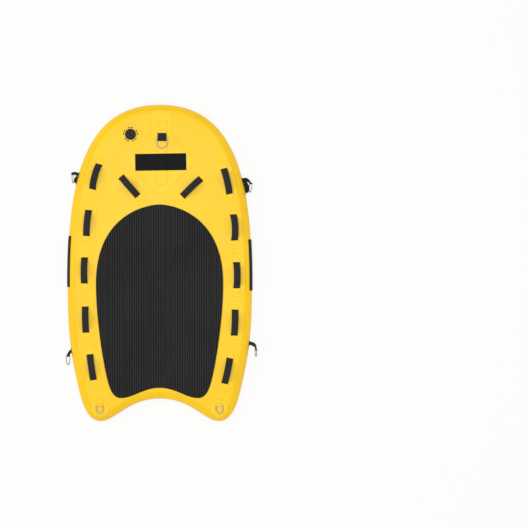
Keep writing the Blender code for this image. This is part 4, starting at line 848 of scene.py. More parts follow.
def coated_fabric(name, colour):
    """Glossy coating over a fine weave, with a thin darker line and a trace of dirt along its edges."""
    finish = Finish(name, 0.32, specular=0.22)
    tone = finish.uneven(colour, 0.35, 0.97, 1.02)
    edge = finish.node("ShaderNodeAttribute", attribute_name="rim").outputs["Fac"]
    broken = finish.spread(finish.noise(finish.object, 0.02), 0.3, 0.7, 0.45, 1.0)
    # A thin darker brownish line along each edge, broken by noise.
    edge_line = finish.math("MULTIPLY", finish.spread(edge, EDGE_WIDTH * 0.4, EDGE_WIDTH, 1.0, 0.0), broken)
    grime = finish.math("MULTIPLY", finish.spread(edge, 0.001, 0.012, 0.10, 0.0), broken)
    tone = finish.mix(grime, tone, shade(colour, 0.72))
    tone = finish.part_mix(edge_line, 0.38, tone, (0.50, 0.29, 0.02))
    ripple = finish.math("MULTIPLY", finish.noise(finish.object, 0.03), 3.0)
    height = finish.math("ADD", finish.lattice(finish.flat, 0.0011), ripple)
    rough = finish.spread(finish.noise(finish.object, 0.08, 3.0), 0.25, 0.75, 0.27, 0.37)
    return finish.done(tone, height, 0.00005, 0.5, rough)


def foam_finish(name, colour):
    """Closed-cell foam: fine grain, paler rubbed tops, small scuffs along the ribs and painted shade in the
    grooves.
    """
    finish = Finish(name, 0.78, specular=0.22)
    streaks = finish.drawn_out((60.0, 2.5, 20.0), 4.0, 0.6)
    tone = finish.uneven(colour, 0.22, 0.86, 1.16)
    tone = finish.mix(finish.spread(streaks, 0.45, 0.8, 0.0, 0.5), tone, shade(colour, 1.9))
    scuffs = finish.spread(finish.drawn_out((90.0, 14.0, 40.0), 2.0), 0.72, 0.8)
    tone = finish.part_mix(scuffs, 0.25, tone, (0.12, 0.12, 0.13))
    # Painted shade: the grooves between the ribs are painted much darker.
    groove = finish.spread(finish.bands(finish.object, bpy.context.scene.sled_pad.rib_pitch), 0.45, 0.95)
    tone = finish.part_mix(groove, 0.85, tone, shade(colour, 0.12))
    grain = finish.noise(finish.object, 0.0006, 2.0, 0.7)
    return finish.done(tone, grain, 0.00012, 0.6, finish.spread(streaks, 0.3, 0.7, 0.72, 0.86))


def ribbed_finish(name, colour):
    """Glossier black sheeting with painted shade in its furrows, painted highlights in long pale streaks along
    the ribs, and rub marks.
    """
    finish = Finish(name, 0.42)
    tone = finish.uneven(colour, 0.15, 0.8, 1.25)
    # Painted highlights: long pale streaks along the ribs.
    streaks = finish.drawn_out((75.0, 0.9, 12.0), 3.0, 0.6)
    tone = finish.mix(finish.spread(streaks, 0.50, 0.72, 0.0, 0.8), tone, shade(colour, 2.8))
    # Painted shade: the furrows between the ribs are painted darker, most where the streaks are.
    furrow = finish.spread(finish.bands(finish.object, bpy.context.scene.sled_dark.rib_pitch), 0.55, 0.95)
    wear_and_shade = finish.spread(streaks, 0.3, 0.6, 0.35, 0.9)
    tone = finish.part_mix(furrow, wear_and_shade, tone, shade(colour, 0.2))
    rubbed = finish.drawn_out((70.0, 9.0, 30.0), 4.0, 0.65)
    tone = finish.mix(finish.spread(rubbed, 0.6, 0.8, 0.0, 0.4), tone, shade(colour, 2.6))
    rough = finish.spread(rubbed, 0.3, 0.75, 0.34, 0.6)
    return finish.done(tone, finish.noise(finish.object, 0.0025, 3.0), 0.00018, 0.5, rough)


def base_cloth(name, colour):
    """Black coated cloth with a visible weave and pale scuffs."""
    finish = Finish(name, 0.5)
    tone = finish.uneven(colour, 0.3, 0.85, 1.2)
    scuffs = finish.spread(finish.drawn_out((26.0, 60.0, 20.0), 3.0), 0.7, 0.8)
    tone = finish.part_mix(scuffs, 0.3, tone, (0.25, 0.26, 0.28))
    rough = finish.spread(finish.noise(finish.object, 0.05, 3.0), 0.3, 0.7, 0.42, 0.58)
    return finish.done(tone, finish.lattice(finish.flat, 0.0016), 0.00015, 0.7, rough)


def webbing_finish(name, colour):
    """Woven strap: fine ribs along it crossed by the picks of the weave, with painted shade in the weave's
    hollows and painted light on its raised threads, paler where it is rubbed.
    """
    finish = Finish(name, 0.72, specular=0.25, sheen=0.08)
    pitch = 0.0016
    ribs = finish.bands(finish.flat, pitch, "X")
    picks = finish.bands(finish.flat, pitch * 1.7, "Y")
    height = finish.math("MULTIPLY", ribs, finish.math("ADD", finish.math("MULTIPLY", picks, 0.6), 0.4))
    fuzz = finish.noise(finish.flat, 0.004, 4.0, 0.7)
    # Painted shade and light: the colour follows the weave's relief, darker in its hollows and paler on its
    # raised threads.
    tone = finish.mix(finish.spread(height, 0.1, 0.9), shade(colour, 0.55), shade(colour, 1.3))
    tone = finish.mix(finish.spread(fuzz, 0.55, 0.8, 0.0, 0.45), tone, shade(colour, 2.4))
    return finish.done(tone, height, 0.0003, 0.8, finish.spread(fuzz, 0.3, 0.7, 0.66, 0.8))


def moulded_finish(name, colour, roughness=0.45, specular=0.22):
    """Moulded plastic: fine spark texture and slight handling marks."""
    finish = Finish(name, roughness, specular=specular)
    marks = finish.noise(finish.object, 0.012, 4.0, 0.6)
    tone = finish.mix(finish.spread(marks, 0.35, 0.7), shade(colour, 0.85), shade(colour, 1.25))
    rough = finish.spread(marks, 0.3, 0.7, roughness - 0.05, roughness + 0.1)
    return finish.done(tone, finish.noise(finish.object, 0.0004), 0.00004, 0.5, rough)


def grip_finish(name, colour):
    """Soft rubber sheet with a fine cross-cut tread, painted darker along the tread's lines and paler between
    them as painted shade and light.
    """
    finish = Finish(name, 0.7, specular=0.25)
    turn = {"Vector": finish.flat, "Rotation": (0.0, 0.0, pi / 4)}
    tread = finish.lattice(finish.node("ShaderNodeMapping", turn).outputs[0], 0.0042)
    wear_and_shade = finish.noise(finish.object, 0.03, 3.0)
    # Painted shade and light: the colour follows the tread, darker along its lines and paler between them.
    tone = finish.mix(finish.spread(tread, 0.3, 0.9), shade(colour, 1.15), shade(colour, 0.6))
    tone = finish.mix(finish.spread(wear_and_shade, 0.5, 0.75, 0.0, 0.35), tone, shade(colour, 1.9))
    return finish.done(tone, tread, 0.0004, 0.8, finish.spread(wear_and_shade, 0.3, 0.7, 0.6, 0.78))


def steel_finish(name, colour):
    """Brushed stainless wire with faint drawing lines and dull spots."""
    finish = Finish(name, 0.34, metallic=1.0)
    dull = finish.noise(finish.object, 0.006, 4.0, 0.6)
    tone = finish.mix(finish.spread(dull, 0.35, 0.75), colour, shade(colour, 0.82))
    rough = finish.spread(dull, 0.3, 0.7, 0.28, 0.44)
    return finish.done(tone, finish.noise(finish.object, 0.0012, 3.0), 0.00003, 0.4, rough)


def inner_finish(name, colour):
    """Undyed woven yarn inside the air chamber."""
    finish = Finish(name, 0.85, sheen=0.2)
    strands = finish.drawn_out((3.0, 3.0, 0.2), 3.0, 0.7, size=0.002)
    tone = finish.mix(finish.spread(strands, 0.3, 0.7), shade(colour, 0.8), colour)
    return finish.done(tone, strands, 0.0003, 0.6)


def finish_for(kind):
    """The material of a kind of surface, made once."""
    scene = bpy.context.scene
    name = "sled_" + kind
    if name in bpy.data.materials:
        return bpy.data.materials[name]
    fabric, dark, valve = scene.sled_fabric, scene.sled_dark, scene.sled_valve
    maker, colour, *more = {
        "yellow_fabric": (coated_fabric, fabric.skin_colour),
        "yellow_band": (coated_fabric, fabric.band_colour),
        "yellow_patch": (coated_fabric, fabric.patch_colour),
        "inner_fabric": (inner_finish, fabric.yarn_colour),
        "pad_foam": (foam_finish, dark.foam_colour),
        "skid_sheet": (ribbed_finish, dark.skid_colour),
        "base_fabric": (base_cloth, dark.base_colour),
        "black_webbing": (webbing_finish, dark.webbing_colour),
        "black_plate": (moulded_finish, dark.plate_colour, 0.55, 0.1),
        "grip_rubber": (grip_finish, dark.grip_colour),
        "stainless": (steel_finish, scene.sled_rings.steel_colour),
        "valve_plastic": (moulded_finish, valve.plastic_colour),
        "rubber": (moulded_finish, valve.rubber_colour, 0.6),
    }[kind]
    return maker(name, tuple(colour), *more)


# Hull skins, rail bands and sheets


def two_faced(outer, inner, faces, cut, rim):
    """A closed sheet from its outside and inside points, which share their faces."""
    sheet, count = Sheet(), len(outer)
    for side in (outer, inner):
        for point, flat, edge in zip(side, cut, rim):
            sheet.add(point, flat, edge)
    sheet.faces = [tuple(face) for face in faces] + [tuple(i + count for i in face[::-1]) for face in faces]
    sheet.faces += [(b, a, a + count, b + count) for a, b in open_sides(faces)]
    return sheet


def grid_faces(rows, depth, closed=False):
    """Faces between rows of points, each row with the given number of points."""
    faces = []
    for i in range(rows if closed else rows - 1):
        j = (i + 1) % rows
        for k in range(depth - 1):
            faces.append((i * depth + k, j * depth + k, j * depth + k + 1, i * depth + k + 1))
    return faces


def wrapped_sheet(run, rows, outer, inner, sign, closed=False, fill=(), holes=(), relief=None):
    """A sheet over the rail's round and across the flat of the deck or base. rows(s) are angles from its free
    edge to the flat, outer and inner give its radii at an angle, and relief lowers its outside at a flat
    coordinate."""
    outside, inside, cut, rim = [], [], [], []
    table = [rows(s) for s in run]
    count, depth = len(run), len(table[0])
    for s, row in zip(run, table):
        for angle in row:
            flat = RAIL.flat(s, angle)
            lower = relief(flat) if relief else 0.0
            outside.append(RAIL.point(s, angle, outer(angle) - lower))
            inside.append(RAIL.point(s, angle, inner(angle)))
            cut.append(flat)
            rim.append(radians(abs(angle - row[0])) * RAIL_RADIUS)
    faces = grid_faces(count, depth, closed)
    edge = [i * depth + depth - 1 for i in range(count)]
    loop = [tuple(outside[i])[:2] for i in edge]
    plan, triangles = plan_triangles([loop, *holes], fill)
    lookup = {(round(x * MICROMETRE), round(y * MICROMETRE)): i for i, (x, y) in zip(edge, loop)}
    place = []
    for p in plan:
        key = (round(p[0] * MICROMETRE), round(p[1] * MICROMETRE))
        if key not in lookup:
            lower = relief(p) if relief else 0.0
            outside.append(Vector((p[0], p[1], MID_Z + sign * (outer(sign * 90.0) - lower))))
            inside.append(Vector((p[0], p[1], MID_Z + sign * inner(sign * 90.0))))
            cut.append(tuple(p))
            rim.append(1.0)
            lookup[key] = len(outside) - 1
        place.append(lookup[key])
    if sign < 0:
        faces = [face[::-1] for face in faces]
        triangles = [tri[::-1] for tri in triangles]
    faces += [tuple(place[i] for i in tri) for tri in triangles]
    return two_faced(outside, inside, faces, cut, rim)


def build_skins():
    run = [float(s) for s in RAIL.lengths[:-1]]
    hole = circle(VALVE_CENTRE, VALVE_HOLE_RADIUS, 64)
    for name, sign, holes in (("deck_skin", 1, [hole]), ("base_skin", -1, [])):
        angles = [sign * SEAM_ANGLE] + [sign * RAIL_ROW * k for k in range(1, round(90 / RAIL_ROW) + 1)]
        sheet = wrapped_sheet(run, lambda s: angles, lambda a: SKIN_OUT, lambda a: SKIN_OUT - FABRIC, sign,
                              closed=True, holes=holes)
        item = make_piece("hull_" + name, sheet, "yellow_fabric", [name])
        mesh_area(sheet) / 2


def build_bands():
    nose, foot = RAIL.total / 2, inset_angle(BAND_INSETS[1])
    joint = RAIL.at_y(1, BAND_JOINT_Y)
    rows = [degrees(d / RAIL_RADIUS) for d in BAND_EDGE_ROWS]
    ends = {
        "band_starboard": (GAP / 2, joint - GAP / 2),
        "band_port": (joint + GAP / 2, RAIL.total - GAP / 2),
    }

    def top_edge(s):
        share = ease(abs(s - nose), *BAND_WIDENING)
        return inset_angle(BAND_INSETS[0] + (BAND_INSETS[1] - BAND_INSETS[0]) * share)

    for name, (start, end) in ends.items():
        outside, inside, cut, rim = [], [], [], []
        clear = (start + BAND_END_CLEARANCE, end - BAND_END_CLEARANCE)
        run = [start] + [float(s) for s in RAIL.lengths if clear[0] < s < clear[1]] + [end]
        run = sorted(run + [start + BAND_END_ROW, end - BAND_END_ROW])
        for s in run:
            low, high = -foot, top_edge(s)
            middle = [low + rows[-1] + (high - low - 2 * rows[-1]) * k / BAND_MIDDLE_ROWS
                      for k in range(1, BAND_MIDDLE_ROWS)]
            for angle in [low + r for r in rows] + middle + [high - r for r in reversed(rows)]:
                outside.append(RAIL.point(s, angle, RAIL_RADIUS))
                inside.append(RAIL.point(s, angle, RAIL_RADIUS - FABRIC))
                cut.append((radians(angle) * RAIL_RADIUS, s))
                across = min(radians(angle - low) * RAIL_RADIUS, radians(high - angle) * RAIL_RADIUS)
                rim.append(max(0.0, min(across, s - start, end - s)))
        faces = grid_faces(len(run), 2 * len(rows) + BAND_MIDDLE_ROWS - 1)
        sheet = two_faced(outside, inside, faces, cut, rim)
        item = make_piece("fabric_" + name, sheet, "yellow_band", ["rail_" + name])
        soften_edges(item)
        mesh_area(sheet) / 2


def base_sheet_inner(angle):
    """Radius of a base sheet's inside, which steps down from the band to the skin."""
    return SHEET_OVER_BAND + (SHEET_IN - SHEET_OVER_BAND) * ease(angle, *SHEET_STEP_DOWN)


def base_sheet_outer(angle):
    return base_sheet_inner(angle) + SHEET


def row_count(edge, step):
    """How many rows of about the given step lie between a sheet's free edge and the flat."""
    return max(2, round(radians(90 + edge) * RAIL_RADIUS / step))


def edge_rows(edge, count):
    """Angles from a sheet's free edge down to the flat, with one more row close to the edge."""
    first = degrees(SHEET_EDGE_ROW / RAIL_RADIUS)
    left = 90 + edge - first
    return [edge, edge - first] + [edge - first - left * k / count for k in range(1, count + 1)]


def rib_lines(run, pitch):
    """Lines of points along the skid sheet's ribs, over the flat inside the rail's round."""
    inner = [RAIL.frame(s)[0] for s in run]
    step = pitch / RIB_LINES
    half = int(max(abs(p.x) for p in inner) / step)
    lines = []
    for x in (k * step for k in range(-half, half + 1)):
        ys = [a.y + (x - a.x) / (b.x - a.x) * (b.y - a.y) for a, b in zip(inner, inner[1:])
              if (a.x - x) * (b.x - x) <= 0 and a.x != b.x]
        if ys and max(ys) > SHEET_JOINT_Y + LINE_LEAST:
            twice = len(ys) > 1 and max(ys) - min(ys) > LINE_LEAST
            low = min(ys) if twice else SHEET_JOINT_Y
            lines.append([(x, low + LINE_CLEARANCE), (x, max(ys) - LINE_CLEARANCE)])
    return lines


def build_skid_sheet(run):
    nose, dark = RAIL.total / 2, bpy.context.scene.sled_dark

    def edge(s):
        share = ease(abs(s - nose), *SKID_WIDENING)
        return -inset_angle(SKID_BORDER[0] + (SKID_BORDER[1] - SKID_BORDER[0]) * share)

    def furrow(p):
        return dark.rib_depth * max(0.0, cos(2 * pi * p[0] / dark.rib_pitch)) ** RIB_POWER

    count = max(row_count(edge(s), SKID_STEP) for s in (nose, run[-1]))
    sheet = wrapped_sheet(run, lambda s: edge_rows(edge(s), count), base_sheet_outer, base_sheet_inner, -1,
                          fill=rib_lines(run, dark.rib_pitch), relief=furrow)
    item = make_piece("ribbed_skid_sheet", sheet, "skid_sheet", ["nose_skid_sheet"])
    mesh_area(sheet) / 2


def build_tail_sheet(run):
    def edge(s):
        from_notch = min(s % RAIL.total, RAIL.total - s % RAIL.total)
        notch, tip, side = TAIL_BORDERS
        border = notch + (tip - notch) * ease(from_notch, *TAIL_NARROWING)
        return -inset_angle(border + (side - tip) * ease(from_notch, *TAIL_WIDENING))

    count = min(row_count(edge(s), TAIL_ROW) for s in run) + TAIL_EXTRA_ROWS
    sheet = wrapped_sheet(run, lambda s: edge_rows(edge(s), count), base_sheet_outer, base_sheet_inner, -1)
    item = make_piece("smooth_base_sheet", sheet, "base_fabric", ["tail_base_sheet"])
    mesh_area(sheet) / 2


# Deck pad


def pad_outline():
    """Counter-clockwise outline of the ribbed pad."""
    widest, turn, lobe = Vector(PAD_WIDEST), Vector(PAD_SIDE), Vector(PAD_LOBE)
    lean, out = Vector(PAD_SIDE_LEAN), Vector((1.0, 0.0))
    fore, aft = [(PAD_WIDEST[0], y) for y in PAD_WIDEST_HANDLES_Y]
    curves = (
        ((0.0, PAD_TOP_Y), (PAD_TOP_HANDLE, PAD_TOP_Y), fore, widest),
        (widest, aft, turn - lean * PAD_SIDE_HANDLES[0], turn),
        (turn, turn + lean * PAD_SIDE_HANDLES[1], lobe + out * PAD_LOBE_HANDLES[0], lobe),
        (lobe, lobe - out * PAD_LOBE_HANDLES[1], (PAD_FOOT_HANDLE, PAD_FOOT_Y), (0.0, PAD_FOOT_Y)),
    )
    starboard = []
    for curve, steps in zip(curves, PAD_STEPS):
        starboard += [tuple(p) for p in bezier(*curve, steps)[0]][1 if starboard else 0 :]
    port = [(-x, y) for x, y in starboard]
    return starboard[::-1] + port[1:-1]


def crossings(loop, x):
    """Places, in order along it, at which a lengthwise line crosses a loop."""
    found = []
    for a, b in zip(loop, np.roll(loop, -1, axis=0)):
        if (a[0] > x) != (b[0] > x):
            found.append(a[1] + (x - a[0]) / (b[0] - a[0]) * (b[1] - a[1]))
    return sorted(found)


def build_pad():
    pad = bpy.context.scene.sled_pad
    pitch, groove = pad.rib_pitch, pad.groove_width
    shares, drops = zip(*PAD_GROOVE)
    loop = pad_outline()
    inner = inset_loop(loop, PAD_ROUND)
    half = int(PAD_WIDEST[0] / pitch)
    columns = [k * pitch for k in range(-half, half + 1)]
    columns += [(k + 0.5) * pitch + share * groove for k in range(-half, half) for share in shares]
    lines = []
    for x in sorted(columns):
        ys = crossings(inner, x)
        lines += [[(x, a), (x, b)] for a, b in zip(ys[::2], ys[1::2]) if b - a > LINE_LEAST]
    lines += [closed_line(ring) for ring in (inset_loop(loop, PAD_ROUND_ROW), inner)]
    plan, triangles = plan_triangles([loop], lines)
    distance = edge_distance(plan, [loop])

    def top(p, edge):
        nearest = (round(p[0] / pitch - 0.5) + 0.5) * pitch
        sunk = float(np.interp((p[0] - nearest) / groove, shares, drops)) * pad.groove_depth
        full = pad.thickness - sunk * ease(edge, 0.0, PAD_ROUND)
        at_edge, more = PAD_EDGE
        return PATCH_LOW + full * (at_edge + more * sqrt(1 - (1 - min(1.0, edge / PAD_ROUND)) ** 2))

    over = [top(p, edge) for p, edge in zip(plan, distance)]
    sheet = layered(plan, triangles, [PATCH_LOW] * len(plan), over, distance)
    item = make_piece("ribbed_foam_pad", sheet, "pad_foam", ["deck_pad"], sharp=SHARP_ANGLE_FINE)


# Handles


def webbing_section(width, thickness):
    """Cross-section of webbing: flat faces and rounded selvedges, as (across, up)."""
    half, edge = width / 2, thickness / 2
    inset, rise = edge * 0.3, edge * 0.7
    low = [(-half + edge, -edge), (0.0, -edge), (half - edge, -edge), (half - inset, -rise), (half, 0.0)]
    high = [(half - inset, rise), (half - edge, edge), (0.0, edge), (-half + edge, edge)]
    return low + high + [(-half + inset, rise), (-half, 0.0), (-half + inset, -rise)]


def strap(path, width, thickness, lean=0.0, twist=0.0):
    """Webbing along points of (lengthwise place, height), with its crown shifted aside and turned."""
    base, crown = path[0][1], max(z for _, z in path)
    section = webbing_section(width, thickness)
    sections, cuts, run = [], [], 0.0
    for i, (u, z) in enumerate(path):
        before, after = path[max(i - 1, 0)], path[min(i + 1, len(path) - 1)]
        along = Vector((after[0] - before[0], after[1] - before[1])).normalized()
        if i:
            run += hypot(u - path[i - 1][0], z - path[i - 1][1])
        height = (z - base) / max(crown - base, 1 / MICROMETRE)
        turn = twist * height
        row = []
        for across, up in section:
            side, lift = across * cos(turn) - up * sin(turn), across * sin(turn) + up * cos(turn)
            row.append((lean * height + side, u - lift * along.y, z + lift * along.x))
        sections.append(row)
        cuts.append([(across, run) for across, _ in section])
    return swept(sections, cuts=cuts)


def handle_path(height, thickness):
    """The strap's middle from end to end: flat under the patch, out of a slit and up into an arch."""
    low, crown = PATCH_LOW + thickness / 2, DECK_Z + height
    foot, top = HANDLE_RISE_HANDLES
    rise = bezier((HANDLE_RISE_START, low), (foot, low), (top, crown), (0.0, crown), HANDLE_STEPS)[0]
    half = [(HANDLE_HIDDEN_END, low), (HANDLE_FLAT_END, low)] + [tuple(p) for p in rise]
    return [(-u, z) for u, z in half] + half[-2::-1]


def handle_patch(handles):
    """Patch that covers both ends of a strap, with its slits and the rounded rises over the strap's ends."""
    half_slit = handles.width / 2 + SLIT_CLEARANCE
    lift = handles.thickness + GAP
    loops = [rounded_rectangle(handles.patch_width, handles.patch_length, handles.patch_corner, 12)]
    for end in (-1, 1):
        near, far = sorted((end * SLIT[0], end * SLIT[1]))
        loops.append([(-half_slit, near), (half_slit, near), (half_slit, far), (-half_slit, far)])
    centre = TONGUE_END - TONGUE_HALF

    def low(plan):
        heights = []
        for v, u in plan:
            along = abs(u)
            beyond = hypot(v, max(0.0, along - centre)) - TONGUE_HALF
            rise = ease(-beyond, -TONGUE_SLOPE, 0.0) * ease(along, SLIT[0], SLIT[1])
            heights.append(PATCH_LOW + lift * rise)
        return np.array(heights)

    return closed_sheet(loops, low, FABRIC, HANDLE_PATCH_PITCH)


def build_handles():
    handles = bpy.context.scene.sled_handles
    patch = handle_patch(handles)
    path = handle_path(handles.height, handles.thickness)
    for k, (name, x, y, tilt, lean) in enumerate(HANDLES):
        place = Matrix.Translation((x, y, 0.0)) @ Matrix.Rotation(radians(tilt), 4, "Z")
        cover = placed(patch, place)
        item = make_piece("handle_cover_" + name, cover, "yellow_patch", ["handle_patch_" + name])
        twist = radians(HANDLE_TWIST) * (1 if k % 2 else -1)
        arch = strap(path, handles.width, handles.thickness, lean, twist)
        make_piece("handle_webbing_" + name, placed(arch, place), "black_webbing", ["handle_strap_" + name])


# Bow


def bow_ridge(x, y):
    """Height of the bow patch over the webbing."""
    half = BOW_WEBBING_WIDTH / 2 + GAP
    lift = bpy.context.scene.sled_handles.thickness + GAP
    across = ease(half + BOW_RIDGE_SLOPE - abs(x - BOW_WEBBING_X), 0.0, BOW_RIDGE_SLOPE)
    fore = ease(BOW_WEBBING_Y[1] + GAP + BOW_RIDGE_SLOPE - y, 0.0, BOW_RIDGE_SLOPE)
    aft = ease(y - BOW_WEBBING_Y[0] + GAP + BOW_RIDGE_SLOPE, 0.0, BOW_RIDGE_SLOPE)
    return lift * across * fore * aft


def nose_y(x):
    """Where the outline's nose lies at a distance from the middle."""
    rows = RAIL.points[np.abs(RAIL.points[:, 0]) < BOW_HEAD_REACH]
    rows = rows[rows[:, 1] > 0]
    order = np.argsort(rows[:, 0])
    return np.interp(x, rows[order, 0], rows[order, 1])


def bow_patch_outline():
    """Square turned 45 degrees with rounded corners, and the strip from its top to the band at the nose."""
    h, c, strip = BOW_PATCH_HALF, BOW_PATCH_CORNER / sqrt(2), BOW_STRIP_HALF

    def corner(ahead, tip, after):
        return [tuple(p) for p in bezier(ahead, tip, tip, after, 5)[0]]

    right = corner((-c, c - h), (0.0, -h + c * BOW_PATCH_TIP), (c, c - h))
    right += corner((h - c, -c), (h - c * BOW_PATCH_TIP, 0.0), (h - c, c)) + [(strip, h - strip)]
    left = [(-strip, h - strip)] + corner((c - h, c), (c * BOW_PATCH_TIP - h, 0.0), (c - h, -c))
    right, left = [[(BOW_X + x, BOW_PATCH_Y + y) for x, y in half] for half in (right, left)]
    xs = np.linspace(BOW_X + strip, BOW_X - strip, BOW_HEAD_STEPS)
    head = [(float(x), float(nose_y(x)) - (BAND_INSETS[0] + BOW_SEAM_GAP)) for x in xs]
    return right + head + left


def build_bow_patch():
    half = BOW_WEBBING_WIDTH / 2 + SLIT_CLEARANCE
    port, starboard = BOW_WEBBING_X - half, BOW_WEBBING_X + half
    aft, fore = BOW_WINDOW_Y
    window = [(port, aft), (starboard, aft), (starboard, fore), (port, fore)]
    radius = SKIN_OUT + GAP

    def low(plan):
        out = np.clip(RAIL_RADIUS - (nose_y(plan[:, 0]) - plan[:, 1]), 0.0, radius)
        ridge = np.array([bow_ridge(x, y) for x, y in plan])
        return MID_Z + np.sqrt(radius**2 - out**2) + ridge

    sheet = closed_sheet([bow_patch_outline(), window], low, FABRIC, BOW_PATCH_PITCH)
    item = make_piece("bow_cover", sheet, "yellow_patch", ["bow_patch"])
    mesh_area(sheet) / 2


def build_bow_webbing():
    """Webbing that lies under the bow patch, comes up in its window and goes over the ring's bar."""
    thickness = bpy.context.scene.sled_handles.thickness
    low = PATCH_LOW + thickness / 2
    reach = BOW_RING[2] + EYE_CLEARANCE + thickness
    crown = DECK_Z + BOW_RING_RISE + BOW_RING[2] + EYE_CLEARANCE + thickness / 2
    aft, fore = BOW_WINDOW_Y
    rise = [(fore - away, low + up) for away, up in BOW_RISE_FEET]
    rise += [(BOW_EYE_Y + share * reach, crown) for share in BOW_CROWN_BEFORE]
    rise = bezier(*rise, BOW_WEBBING_STEPS)[0]
    fall = [(BOW_EYE_Y - share * reach, crown) for share in BOW_CROWN_AFTER]
    fall += [(aft + away, low + up) for away, up in BOW_FALL_FEET]
    fall = bezier(*fall, BOW_WEBBING_STEPS)[0]
    path = [(BOW_WEBBING_Y[1] - BOW_WEBBING_HIDDEN, low), (fore - BOW_WINDOW_CLEARANCE, low)]
    path += [tuple(p) for p in rise] + [(BOW_EYE_Y, crown)] + [tuple(p) for p in fall]
    path += [(aft, low), (BOW_WEBBING_Y[0] + BOW_WEBBING_HIDDEN, low)]
    sheet = strap(path[::-1], BOW_WEBBING_WIDTH, thickness)
    sheet = placed(sheet, Matrix.Translation((BOW_WEBBING_X, 0.0, 0.0)))
    make_piece("bow_tab", sheet, "black_webbing", ["bow_webbing"])


def build_plate():
    turn = Matrix.Rotation(radians(PLATE_TURN), 2)
    loop = rounded_rectangle(*PLATE_SIZE, PLATE_CORNER, 4)
    loop = [tuple(Vector(PLATE_CENTRE) + turn @ Vector(p)) for p in loop]

    def low(plan):
        return PATCH_TOP + GAP + np.array([bow_ridge(x, y) for x, y in plan])

    sheet = closed_sheet([loop], low, PLATE_THICKNESS, PLATE_PITCH, rim=PLATE_EDGE)
    make_piece("bow_plate", sheet, "black_plate", ["name_plate"])


# Rings and their straps


def ring_path(half, depth, straight):
    """D ring in its own plane, x along the bar and y down its depth, with the bar's middle at the origin."""
    shoulder, r = straight * depth, RING_CORNER * half
    turns = [radians(RING_CORNER_STEP * i) for i in range(90 // RING_CORNER_STEP + 1)]
    path = [(half * k / 4 * (1 - r / half), 0.0) for k in range(-4, 4)]
    path += [(half - r + r * sin(a), r - r * cos(a)) for a in turns]
    path += [(half, r + (shoulder - r) * 0.5)]
    arc = [pi * i / RING_ARC_STEPS for i in range(RING_ARC_STEPS + 1)]
    path += [(half * cos(a), shoulder + (depth - shoulder) * sin(a)) for a in arc]
    path += [(-half, r + (shoulder - r) * 0.5)]
    path += [(-half + r - r * cos(a), r - r * sin(a)) for a in turns[:-1]]
    return path


def build_ring(node, size, eye, bar, hang):
    """The wire ring of a CAD node, whose body has the same name."""
    half, depth, wire, straight = size
    wire *= bpy.context.scene.sled_rings.wire_scale
    bar, hang, eye = Vector(bar).normalized(), Vector(hang).normalized(), Vector(eye)
    face = bar.cross(hang)
    path = [Vector(p) for p in ring_path(half, depth, straight)]
    turns = [2 * pi * k / RING_SIDES for k in range(RING_SIDES)]
    sections, cuts, run = [], [], 0.0
    for i, p in enumerate(path):
        before, after = (p - path[i - 1]).normalized(), (path[(i + 1) % len(path)] - p).normalized()
        along = (before + after).normalized()
        out = Vector((along.y, -along.x))
        run += (p - path[i - 1]).length if i else 0.0
        radius = wire + (RING_BEAD if i == RING_BEAD_PLACE else 0.0)
        row = []
        for a in turns:
            flat = p + out * radius * cos(a)
            row.append(eye + bar * flat.x + hang * flat.y + face * radius * sin(a))
        sections.append(row)
        cuts.append([(wire * a, run) for a in turns])
    sheet = swept(sections, closed=True, cuts=cuts)
    make_piece("towing_" + node, sheet, "stainless", [node], body=node, sharp=SHARP_ANGLE_FINE)


def folded_webbing(line, wire, layer, edge):
    """Webbing that runs out along one side of a line, round a ring's bar and back along the other. edge turns
    a point of the plane into a point across the webbing, from -1 to 1, given its share of the way to the eye
    and the line's direction there."""
    line = [Vector(p) for p in line]
    eye, gone = line[-1], [0.0]
    for a, b in zip(line, line[1:]):
        gone.append(gone[-1] + (b - a).length)
    sides = {1: [], -1: []}
    for i, p in enumerate(line[:-1]):
        along = (line[i + 1] - line[max(i - 1, 0)]).normalized()
        for side in sides:
            out = Vector((-along.y, along.x)) * side * layer / 2
            sides[side].append((p + out, gone[i] / gone[-1], along))
    along = (eye - line[-2]).normalized()
    start, wrap = atan2(along.y, along.x), radians(FOLD_WRAP)
    radius = wire + EYE_CLEARANCE + layer / 2
    arc = [(eye + Vector((cos(a), sin(a))) * radius, 1.0, along)
           for a in (start + wrap - 2 * wrap * i / FOLD_STEPS for i in range(FOLD_STEPS + 1))]
    path = sides[1] + arc + sides[-1][::-1]
    thin = {k: FOLD_SELVEDGE if abs(k) == 1 else 1.0 for k in FOLD_SHARES}
    sections, cuts, run = [], [], 0.0
    for i, (p, share, heading) in enumerate(path):
        before, after = path[max(i - 1, 0)][0], path[min(i + 1, len(path) - 1)][0]
        along = (after - before).normalized()
        side = Vector((-along.y, along.x)) * layer / 2
        run += (p - path[i - 1][0]).length if i else 0.0
        row = [edge(p + side * thin[k], k, share, heading) for k in FOLD_SHARES]
        row += [edge(p - side * thin[k], k, share, heading) for k in FOLD_SHARES[::-1]]
        sections.append(row)
        cuts.append([(k * TAB_WIDTH / 2, run) for k in FOLD_SHARES + FOLD_SHARES[::-1]])
    return swept(sections, cuts=cuts)


